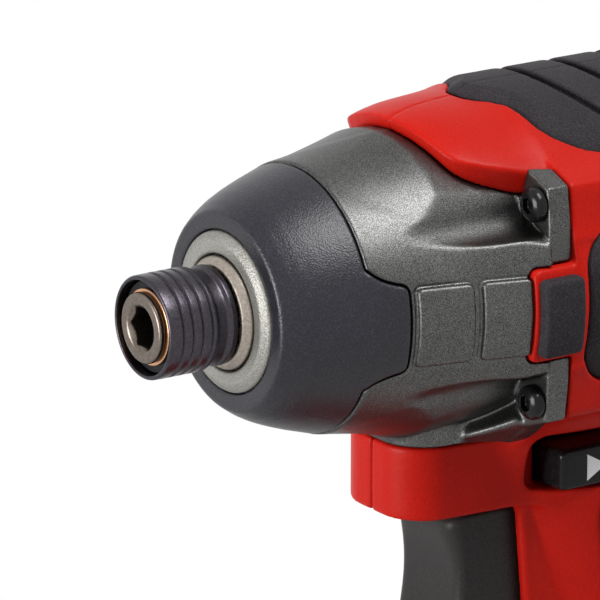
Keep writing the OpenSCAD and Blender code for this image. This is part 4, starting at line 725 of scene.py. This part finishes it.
for place in sleeve["grooves"]:
    rim, half, edge = sleeve["grooveR"], sleeve["grooveHalf"], sleeve["rimRound"]
    sleeve["profile"] += [(place - half, rim, edge),
                          (place, rim - sleeve["grooveDepth"], sleeve["floorRound"]),
                          (place + half * sleeve["grooveLean"], rim, edge)]


def hexagon(a, b, half):
    flats = [np.abs(a * math.cos(t) + b * math.sin(t)) for t in (0, math.pi / 3, -math.pi / 3)]
    return both(both(flats[0], flats[1]), flats[2]) - half


def drawAnvil(x, y, z):
    a = anvil
    u, w, r = headSpace(x, y, z)
    solid = turned(u, r, eased(a["profile"]))
    wings = both(both(r - a["wingR"], np.abs(w) - a["wingHalf"], 0.6), span(u, *a["wing"]), 0.6)
    solid = either(solid, wings, 0.8)
    solid = without(solid, both(hexagon(w, y, a["socketHalf"]), a["socketX"] - u), 0.25)
    solid = without(solid, (r - a["mouthR"] + (a["frontX"] - u)) * a["mouthSlope"], 0.15)
    solid = without(solid, both(span(u, a["clip"][0], a["clip"][1]), a["clip"][2] - r))
    solid = without(solid, np.hypot(u - a["ballX"], w) - a["ballR"])
    return without(solid, both(r - a["pilotR"], u - a["pilotX"]))


anvilPiece = skinned("anvilSocket", drawAnvil, anvil)
fitted(anvilPiece, "output", "bit_steel", "anvil")
# The collar band gets a lighter, browner copy of the anvil's steel as a painted highlight and painted
# reflection
ringFinish(anvilPiece, "collarSteel", *anvil["collar"])
fitted(spun("chuckSleeve", sleeve["profile"] + sleeve["front"]), "collar", "sleeve_black", "chuck_sleeve")
clipRing = [(13.75, 5.65), (13.75, 6.5, 0.2), (14.25, 6.5, 0.2), (14.25, 5.65)]
fitted(spun("clipRing", clipRing), "output", "copper", "retaining_ring")
sealRing = [(-2.2, 9.05, 0.2), (-2.2, 9.85), (-1.0, 9.85, 0.3), (-1.3, 9.45, 0.2), (-1.0, 9.05, 0.2)]
fitted(spun("sealRing", sealRing), "tool", "black_rubber", "nose_seal")
print("chuck made")


# Screws: a domed head with a six-sided recess

def screwDrawing(headR, headH, dome, shankR, shankLen, recess, recessFloor=0.45, lap=0.5):
    def draw(x, y, z):
        r = np.hypot(y, z)
        top = headH - dome + dome * np.sqrt(np.maximum(1 - (r / headR) ** 2, 0))
        solid = both(both(r - headR, x - top, 0.35), -x, 0.2)
        solid = without(solid, both(hexagon(y, z, recess), headH * recessFloor - x), 0.12)
        return either(solid, both(r - shankR, span(x, -shankLen, lap), 0.3))
    return draw


caseScrew = dict(headR=3.0, headH=2.4, dome=1.3, shankR=1.9, shankLen=13.9, recess=1.25, cell=0.14)
bodyScrew = dict(headR=3.4, headH=2.0, dome=0.7, shankR=1.7, shankLen=13.0, recess=1.5, cell=0.2)
packScrew = dict(headR=3.4, headH=2.0, dome=0.7, shankR=1.7, shankLen=27.0, recess=1.5, cell=0.2)


def screwSurface(screw):
    shape = {k: v for k, v in screw.items() if k != "cell"}
    low = (-screw["shankLen"], -screw["headR"], -screw["headR"])
    return surfaced(screwDrawing(**shape), low, (screw["headH"], screw["headR"], screw["headR"]),
                    screw["cell"])


spots = dict(
    body=[(28.27, 166.07), (-21.22, 164.12), (0.64, 124.05), (-11.01, 88.21), (26.46, 66.91),
          (-37.24, 65.23), (-44.95, 217.05), (-44.95, 182.95)],
    bodyY=-5.05, pack=(50.6, 24.4), packZ=7.95, caseLift=0.05, headGap=0.35, shankGap=0.05, seatY=5.0,
    pilotY=8.35,
)


def makeScrews():
    surface = screwSurface(caseScrew)
    a = math.radians(case["screwAngle"])
    side, rise = case["screwRing"] * math.cos(a), case["screwRing"] * math.sin(a)
    for n, (y, w) in enumerate(((side, rise), (side, -rise), (-side, rise), (-side, -rise))):
        place = (head["noseX"] + case["seatX"] + spots["caseLift"], y, head["axisZ"] + w)
        fitted(meshed(f"caseScrew{n + 1}", surface, move=place), "tool", "dark_screw", "case_screws")
    surface = screwSurface(bodyScrew)
    for n, (x, z) in enumerate(spots["body"]):
        piece = meshed(f"housingScrew{n + 1}", surface, ((0, 1, 0), (-1, 0, 0), (0, 0, 1)),
                       (x, spots["bodyY"], z))
        fitted(piece, "tool", "dark_screw", "housing_screws")
    surface = screwSurface(packScrew)
    for n, (kx, ky) in enumerate(((1, 1), (1, -1), (-1, 1), (-1, -1))):
        place = (kx * spots["pack"][0], ky * spots["pack"][1], spots["packZ"])
        piece = meshed(f"batteryScrew{n + 1}", surface, ((0, 0, 1), (0, 1, 0), (-1, 0, 0)), place)
        fitted(piece, "battery", "dark_screw", "battery_screws")


makeScrews()
print("screws made")


# Housing halves. They are drawn for the left half and mirrored; only their screw holes differ

handle = dict(
    depth=[(50.35, 49.0), (57.55, 49.0), (63.79, 46.06), (68.59, 36.26), (72.67, 25.48), (83.0, 20.09),
           (100.3, 19.48), (122.0, 20.5), (143.7, 20.91), (161.0, 22.96), (175.0, 28.7)],
    width=[(50.35, 35.0), (57.55, 35.0), (63.79, 33.25), (68.59, 28.0), (72.67, 21.0), (83.0, 16.8),
           (100.3, 16.13), (122.0, 17.14), (143.7, 16.63), (161.0, 17.47), (175.0, 18.48)],
    middle=[(50.35, 0.0), (57.55, 0.0), (63.79, -0.53), (68.59, -3.87), (72.67, -8.75), (83.0, -11.51),
            (100.3, -9.84), (122.0, -7.76), (143.7, -5.67), (161.0, -4.0), (175.0, -2.65)],
    power=[(50.35, 5.0), (63.79, 5.0), (83.0, 2.7), (175.0, 2.7)], lowZ=50.35, highZ=175.0,
)
housing = dict(
    cell=0.4, seam=0.06, seamLow=-20.0, frontX=-51.1,
    barrel=[(-51.1, 0), (-51.1, 31.0), (-120.95, 31.0, 11.0), (-120.95, 0)], bossX=(-66.1, -60.0, -51.1),
    bossR=(30.4, 34.3, 34.5), bossEdge=0.9,
    bay=[(-50.1, 0), (-50.1, 24.15), (-58.35, 24.15), (-58.35, 22.05), (-60.25, 22.05), (-60.25, 28.2),
         (-74.15, 28.2), (-74.15, 25.1), (-100.55, 25.1), (-100.55, 28.2), (-108.65, 28.2), (-108.65, 6.0),
         (-109.9, 6.0), (-109.9, 7.05), (-115.0, 7.05), (-115.0, 0)],
    bezel=((5.8, -11.5), (17.0, 11.5)), bezelZ=(131.4, 164.0), bezelRound=0.8, bezelEdge=0.5,
    bezelLean=0.09,
    pockets=[((5.05, -9.35, 133.3), (60, 9.35, 159.1)), ((-21.95, -10.6, 136.55), (6.15, 10.6, 160.75)),
             ((-5.85, -60, 162.25), (12.85, 60, 170.15)), ((-41.0, -19.35, 40), (60, 19.35, 55.35)),
             ((-41.0, -23.35, 54.65), (60, 23.35, 61.35)), ((-29.5, -17.6, 61.0), (19.7, 17.6, 66.3))],
    well=((-9.5, 162.4), (16.5, 172.9)), wellRound=2.2, wellFloor=10.4, ventX=(-107.95, -98.75),
    ventPitch=5.2, ventHalf=1.1, ventRows=(-2, -1, 0, 1, 2), ventRound=1.0, pocketFloor=29.6,
    rubberGap=0.1, holeX=(-61.6, -50.0), holeR=1.95, caseGap=0.3, faceGap=0.05, chinGap=0.02, flat=0.012,
    box=((-52.0, 0.0, 49.5), (50.0, 36.0, 232.0)),
)
light = dict(
    place=(39.2, 0.0, 68.1), lean=40.0, radius=2.6, length=5.0, gap=0.1, proud=1.0, dome=0.09, cell=0.2,
    box=((33.0, -3.0, 62.0), (43.0, 3.0, 72.0)),
)


def handleField(x, y, z):
    h = handle
    depth, width, middle, power = (curve(h[k], z).astype(np.float32)
                                   for k in ("depth", "width", "middle", "power"))
    dx, dy = np.abs(x - middle), np.abs(y)
    share = ((dx / depth) ** power + (dy / width) ** power) ** (1 / power)
    return np.hypot(dx, dy) * (1 - 1 / np.maximum(share, 1e-3))


# Distance along the work light's axis and away from it
def lightSpace(x, y, z):
    a = math.radians(light["lean"])
    dx, dz = x - light["place"][0], z - light["place"][2]
    return dx * math.sin(a) + dz * math.cos(a), np.hypot(dx * math.cos(a) - dz * math.sin(a), y)


def topPlan(u, y):
    return outline(u, np.abs(y), topGrip["plan"])


def panelPlan(u, w):
    return rounded(u, w, *sidePads["panel"], sidePads["panelRound"])


def browBody(u, y, w, r):
    b = brow
    top = r - np.interp(u, b["topX"], b["topR"])
    piece = both(both(browPlan(u, y, r), top, b["crease"]), both(b["seatR"] - r, b["lowZ"] - w))
    return without(piece, both(screwAway(y, w) - b["notchR"], case["seatX"] - b["notchGap"] - u))


halfShell = {}


def housingShell(x, y, z):
    h = housing
    u, w, r = headSpace(x, y, z)
    solid = turned(u, r, eased(h["barrel"], 8))
    limit = r - np.interp(u, h["bossX"], h["bossR"])
    bosses = both(both(outline(y, np.abs(w), case["ear"]), limit, h["bossEdge"]),
                  span(u, h["bossX"][0], h["frontX"]))
    solid = both(either(solid, bosses, 1.2), u - h["frontX"], 0.5)
    grip = both(both(handleField(x, y, z), handle["lowZ"] - z, 1.2), z - handle["highZ"])
    solid = either(solid, grip, 4.0)
    lean = h["bezelLean"] * (h["bezelZ"][1] - z)
    rim = both(rounded(x + lean, y, *h["bezel"], h["bezelRound"]), span(z, *h["bezelZ"]), h["bezelEdge"])
    solid = either(solid, rim)
    jaw = both(chinPlan(u, y), span(w, chin["lowZ"], chin["topZ"]), chin["edge"])
    solid = either(solid, jaw, 2.5)
    faceX = h["frontX"] - h["faceGap"]
    inCase = turned(u, r, [(1, 0), (1, case["frontR"]), *flare(h["caseGap"]),
                           (faceX, case["flangeR"] + h["caseGap"]), (faceX, 0)])
    solid = without(solid, both(inCase, chin["topZ"] + h["chinGap"] - w))
    solid = either(solid, browBody(u, y, w, r), 0.4)
    frameEdge = rounded(u, w, (tongue["backX"], tongue["shift"] - tongue["half"]),
                        (tongue["frontX"], tongue["shift"] + tongue["half"]), tongue["corner"])
    solid = either(solid, both(both(frameEdge, r - tongue["outR"], 0.5), tongue["inR"] - r))
    solid = without(solid, turned(u, r, h["bay"]))
    rubber = either(both(topPlan(u, y), -w), panelPlan(u, w))
    solid = without(solid, both(rubber - h["rubberGap"], h["pocketFloor"] - r), 0.3)
    for k in h["ventRows"]:
        low, high = k * h["ventPitch"] - h["ventHalf"], k * h["ventPitch"] + h["ventHalf"]
        slot = rounded(u, w, (h["ventX"][0], low), (h["ventX"][1], high), h["ventRound"])
        solid = without(solid, slot, 0.5)
    for low, high in h["pockets"]:
        solid = without(solid, brick(x, y, z, low, high), 0.4)
    well = both(rounded(x, z, *h["well"], h["wellRound"]), h["wellFloor"] - y)
    solid = without(solid, well, 0.8)
    solid = without(solid, both(screwAway(y, w) - h["holeR"], span(u, *h["holeX"])))
    along, away = lightSpace(x, y, z)
    return without(solid, both(away - light["radius"] - light["gap"],
                               -light["length"] - light["gap"] - along), 0.4)


def drawHalf(side):
    def draw(x, y, z):
        if "field" not in halfShell:
            halfShell["field"] = housingShell(x, y, z)
        solid = halfShell["field"]
        for px, pz in spots["body"]:
            reach = np.hypot(x - px, z - pz)
            if side == "right":
                solid = without(solid, both(reach - bodyScrew["headR"] - spots["headGap"],
                                            spots["seatY"] - y), 0.5)
                solid = without(solid, reach - bodyScrew["shankR"] - spots["shankGap"])
            else:
                solid = without(solid, both(reach - bodyScrew["shankR"] - spots["shankGap"],
                                            y - spots["pilotY"]))
        low = z - head["axisZ"] < housing["seamLow"]
        halfShell["skin"] = np.where(low, both(solid, housing["seam"] - y, 0.4), solid)
        return both(halfShell["skin"], housing["seam"] * 0.5 - y)
    return draw


# Rubber: a flat top that falls away in a bevel along its border

topGrip = dict(
    plan=[(-47.2, 0), (-47.4, 2.2), (-48.6, 4.2), (-50.6, 6.2), (-52.0, 8.5), (-52.8, 11.5), (-53.6, 15.0),
          (-55.2, 17.2), (-57.4, 18.5), (-60.0, 20.0), (-63.0, 21.0), (-67.0, 21.8), (-114.35, 21.8),
          (-114.35, -6.0), (-47.2, -6.0)],
    topR=31.95, floorR=29.7, border=2.6, drop=1.3, grooves=5, grooveX=-61.2, groovePitch=10.0, bendR=31.0,
    grooveW=1.8, grooveR=30.6, backX=-109.95, sinkR=16.0, cell=0.3,
    box=((-46.0, 0.0, 218.0), (26.0, 22.5, 232.5)),
)
sidePads = dict(
    panel=((-96.5, -15.0), (-53.4, 12.4)), panelRound=7.2, topR=31.6, floorR=29.7, border=1.8, drop=0.7,
    small=((-51.1, -7.5), (-43.1, 5.9)), smallRound=1.0, smallTop=33.1, smallFloor=30.5, smallBorder=0.6,
    smallDrop=0.25, nearY=1.0, cell=0.3, box=((-27.0, 24.0, 184.0), (27.0, 33.5, 213.5)),
)
handleGrip = dict(
    front=[(78.7, -5.0), (90.0, -3.6), (105.0, -2.4), (120.0, -1.4), (135.0, 0.4), (147.0, 2.0),
           (154.0, 3.4), (161.0, 5.0)],
    low=0.25, high=1.4, border=2.0, drop=0.7, reach=(78.7, 161.0), cell=0.4,
    box=((-34.0, 0.0, 78.0), (8.0, 20.0, 162.0)),
)


def bevelled(height, plan, top, floor, border, drop, soft):
    fall = np.clip(plan / border + 1, 0, 1) * drop
    return both(both(height - top + fall, plan, soft), floor - height)


def drawTopGrip(x, y, z):
    t = topGrip
    u, w, r = headSpace(x, y, z)
    plan = both(topPlan(u, y), -w)
    sink = np.maximum(t["backX"] - u, 0) ** 2 / t["sinkR"]
    solid = bevelled(r + sink, plan, t["topR"], t["floorR"] + sink, t["border"], t["drop"], 0.7)
    for k in range(t["grooves"]):
        bend = np.hypot(u - (t["grooveX"] - k * t["groovePitch"] - t["bendR"]), y)
        groove = both(span(bend, t["bendR"] - t["grooveW"], t["bendR"]), t["grooveR"] - r)
        solid = without(solid, groove, 0.25)
    halfShell["skin"] = solid
    return both(solid, housing["seam"] * 0.5 - y)


def drawSidePads(x, y, z):
    s = sidePads
    u, w, r = headSpace(x, y, z)
    panel = bevelled(r, panelPlan(u, w), s["topR"], s["floorR"], s["border"], s["drop"], 0.6)
    plan = rounded(u, w, *s["small"], s["smallRound"])
    small = bevelled(r, plan, s["smallTop"], s["smallFloor"], s["smallBorder"], s["smallDrop"], 0.3)
    return both(either(panel, small), s["nearY"] - y)


def drawHandleGrip(x, y, z):
    g = handleGrip
    rise = handleField(x, y, z)
    plan = both(x - curve(g["front"], z).astype(np.float32), span(z, *g["reach"]), 6.0)
    pad = bevelled(rise, plan, g["high"], g["low"], g["border"], g["drop"], 0.6)
    return both(pad, housing["seam"] - y, 0.4)


def makeHousing():
    for side, turn in dict(left=straight, right=mirror).items():
        surface = surfaced(drawHalf(side), *housing["box"], housing["cell"], flat=housing["flat"],
                           uncut=halfShell)
        piece = meshed("housing" + side.capitalize(), surface, turn)
        fitted(piece, "tool", "red_plastic", "housing_" + side)
    halfShell.clear()


def makeRubber():
    pads = dict(top_grip=(drawTopGrip, topGrip), side_pads=(drawSidePads, sidePads),
                handle_grip=(drawHandleGrip, handleGrip))
    for node, (drawing, pad) in pads.items():
        uncut = halfShell if node == "top_grip" else None
        surface = surfaced(drawing, *pad["box"], pad["cell"], uncut=uncut)
        name = node.split("_")[0] + "Rubber"
        fitted(meshed(name + "Left", surface), "tool", "black_rubber", node + "_left")
        fitted(meshed(name + "Right", surface, mirror), "tool", "black_rubber", node + "_right")


makeHousing()
makeRubber()
print("housing and rubber made")


# Trigger, direction slider and work light

trigger = dict(
    side=((11.5, 133.65), (29.5, 158.8)), corner=4.0, half=9.0, scoopR=24.0, scoop=2.4, stemR=3.0,
    stemX=5.5, stemZ=148.65, wellR=5.2, wellX=15.5, edge=1.6, planRun=8.0, stemLap=1.0, cell=0.3,
    box=((5.0, -9.5, 133.0), (30.0, 9.5, 161.5)),
)
slider = dict(
    box=((-5.5, -18.0, 162.6), (12.5, 18.0, 169.8)), edge=1.2, cell=0.25,
    mark=[(7.2, 163.9), (7.2, 168.6), (3.2, 166.25)], markRise=0.06,
)


def drawTrigger(x, y, z):
    t = trigger
    (backX, lowZ), (frontX, highZ) = t["side"]
    side = rounded(x, z, *t["side"], t["corner"])
    scoop = np.hypot(x - (frontX + t["scoopR"] - t["scoop"]), z - (lowZ + highZ) / 2) - t["scoopR"]
    side = without(side, scoop, 1.0)
    plan = rounded(x, y, (backX - t["planRun"], -t["half"]), (frontX, t["half"]), t["corner"])
    solid = both(side, plan, t["edge"])
    stem = np.hypot(y, z - t["stemZ"])
    solid = either(solid, both(stem - t["stemR"], span(x, t["stemX"], backX + t["stemLap"])))
    return without(solid, both(span(stem, t["stemR"], t["wellR"]), x - t["wellX"]))


def drawSlider(x, y, z):
    return brick(x, y, z, *slider["box"], slider["edge"])


def makeMark(name, y, points):
    rise = slider["markRise"] * (1 if y > 0 else -1)
    base = [(x * mm, (y - rise) * mm, z * mm) for x, z in points]
    face = [(x * mm, (y + rise) * mm, z * mm) for x, z in points]
    return faced(name, base + face, [(0, 1, 2), (5, 4, 3), (0, 3, 4, 1), (1, 4, 5, 2), (2, 5, 3, 0)])


def drawLens(x, y, z):
    along, r = lightSpace(x, y, z)
    return both(both(r - light["radius"], along - light["proud"] + r * r * light["dome"], 0.4),
                -light["length"] - along)


triggerPiece = skinned("trigger", drawTrigger, trigger)
fitted(triggerPiece, "trigger", "trigger_grey", "trigger")
sliderPiece = skinned("directionSlider", drawSlider, slider)
fitted(sliderPiece, "slider", "slider_black", "direction_slider")
(backX, rightY, _), (frontX, leftY, _) = slider["box"]
marks = dict(
    left=(leftY, slider["mark"]), right=(rightY, [(backX + frontX - x, z) for x, z in slider["mark"]]),
)
for side, (y, points) in marks.items():
    mark = makeMark("directionMark" + side.capitalize(), y, points)
    mark.data.materials.append(finishOf("markWhite"))
    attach(mark, "slider")
lightPiece = skinned("workLight", drawLens, light)
fitted(lightPiece, "tool", "light_lens", "work_light")
print("trigger, slider and light made")


# Battery

pack = dict(
    plan=((-56.0, -37.0), (56.0, 37.0)), corner=9.0, splitZ=25.0, highZ=50.0, edge=1.6, lowEdge=5.0,
    cell=0.5, cellX=(-46.5, 46.5), cellY=(-32.6, 32.6), seamGap=0.05, neckLap=2.0, contactLap=1.0,
    screwEndZ=36.0, flat=0.012, floorZ=2.4, deckZ=47.0, railX=(-37.65, 39.0), neck=19.0, railHead=23.0,
    railZ=(55.0, 61.0), contacts=(-12.0, -4.0, 4.0, 12.0), contactHalf=1.76, contactX=-23.65,
    contactZ=60.0, ribs=(7.5, 12.0, 16.5), ribX=34.0, ribHalf=0.9, ribDepth=0.8,
    baseBox=((-56.0, -37.0, 0.0), (56.0, 37.0, 25.5)), topBox=((-56.0, -37.0, 24.5), (56.0, 37.0, 61.2)),
)
release = dict(
    box=((49.0, -13.0, 31.0), (55.9, 13.0, 46.0)), scoopX=68.0, scoopZ=39.25, scoopR=13.5, edge=1.2,
    cell=0.25, ridges=(36.5, 39.25, 42.0), ridgeX=54.5, ridgeBack=53.0, ridgeReach=9.0, ridgeHalf=0.5,
    gap=0.35, pocketZ=25.55, pocketX=70.0,
)


def cellPlan(x, y):
    return both(span(x, *pack["cellX"]), span(y, *pack["cellY"]))


def packScrewAway(x, y):
    return np.hypot(np.abs(x) - spots["pack"][0], np.abs(y) - spots["pack"][1])


def drawPackBase(x, y, z):
    p = pack
    plan = rounded(x, y, *p["plan"], p["corner"])
    solid = both(both(plan, -z, p["lowEdge"]), z - p["splitZ"] + p["seamGap"], 0.5)
    for height in p["ribs"]:
        low, high = height - p["ribHalf"], height + p["ribHalf"]
        rib = rounded(x, z, (-p["ribX"], low), (p["ribX"], high), p["ribHalf"])
        solid = without(solid, both(rib, p["plan"][1][1] - p["ribDepth"] - np.abs(y)), 0.6)
    solid = without(solid, both(cellPlan(x, y), p["floorZ"] - z))
    away = packScrewAway(x, y)
    solid = without(solid, both(away - packScrew["headR"] - spots["headGap"], z - spots["packZ"]), 0.4)
    return without(solid, away - packScrew["shankR"] - spots["shankGap"])


def drawPackTop(x, y, z):
    p, b = pack, release
    plan = rounded(x, y, *p["plan"], p["corner"])
    solid = both(both(plan, z - p["highZ"], p["edge"]), p["splitZ"] + p["seamGap"] - z, 0.5)
    neck = both(both(span(x, *p["railX"]), np.abs(y) - p["neck"]),
                span(z, p["highZ"] - p["neckLap"], p["railZ"][0]))
    solid = either(solid, neck)
    rails = both(both(span(x, *p["railX"]), np.abs(y) - p["railHead"], 0.8), span(z, *p["railZ"]), 0.6)
    solid = either(solid, rails)
    solid = without(solid, both(cellPlan(x, y), z - p["deckZ"]))
    for place in p["contacts"]:
        depth = both(x - p["contactX"], span(z, p["deckZ"] - p["contactLap"], p["contactZ"]))
        solid = without(solid, both(np.abs(y - place) - p["contactHalf"], depth))
    hole = packScrewAway(x, y) - packScrew["shankR"] - spots["shankGap"]
    solid = without(solid, both(hole, z - p["screwEndZ"]))
    gap, (low, high) = b["gap"], b["box"]
    pocketLow = (low[0] - gap, low[1] - gap, b["pocketZ"])
    pocketHigh = (b["pocketX"], high[1] + gap, high[2] + gap)
    return without(solid, brick(x, y, z, pocketLow, pocketHigh), 0.8)


def drawRelease(x, y, z):
    b = release
    solid = brick(x, y, z, *b["box"], b["edge"])
    solid = without(solid, np.hypot(x - b["scoopX"], z - b["scoopZ"]) - b["scoopR"], 0.6)
    for height in b["ridges"]:
        bar = both(np.hypot(x - b["ridgeX"], z - height) - b["ridgeHalf"], np.abs(y) - b["ridgeReach"], 0.6)
        solid = either(solid, both(bar, b["ridgeBack"] - x), 0.5)
    return solid


basePiece = meshed("batteryBase", surfaced(drawPackBase, *pack["baseBox"], pack["cell"], flat=pack["flat"]))
fitted(basePiece, "battery", "pack_black", "battery_base")
topPiece = meshed("batteryTop", surfaced(drawPackTop, *pack["topBox"], pack["cell"], flat=pack["flat"]))
fitted(topPiece, "battery", "pack_black", "battery_top")
releasePiece = skinned("releaseButton", drawRelease, release)
fitted(releasePiece, "release", "release_red", "release_button")
print("battery made")


# Springs: each is a copy of its part's mesh, riding with the body that holds it
def makeSprings():
    moves = frame["record"]["behaviour"]
    for joint in moves["joints"]:
        for spring in joint.get("deforming_nodes", []):
            node, axis = spring["node"], "xyz".index(spring["mode"][-1])
            low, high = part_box(node)
            way, anchor = [0.0, 0.0, 0.0], [(a + b) / 2 for a, b in zip(low, high)]
            fixed = spring["fixed_end_" + "xyz"[axis] + "_m"]
            way[axis], anchor[axis] = 1.0, min(low[axis], high[axis], key=lambda end: abs(end - fixed))
            body = next(name for name, held in moves["bodies"].items() if node in held)
            mesh = nodes[node].data.copy()
            mesh.materials.clear()
            piece = bpy.data.objects.new(node.split("_")[0] + "Spring", mesh)
            scene.collection.objects.link(piece)
            fitted(piece, body, "spring_steel", node)
            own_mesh(piece)


makeSprings()
print("springs made")
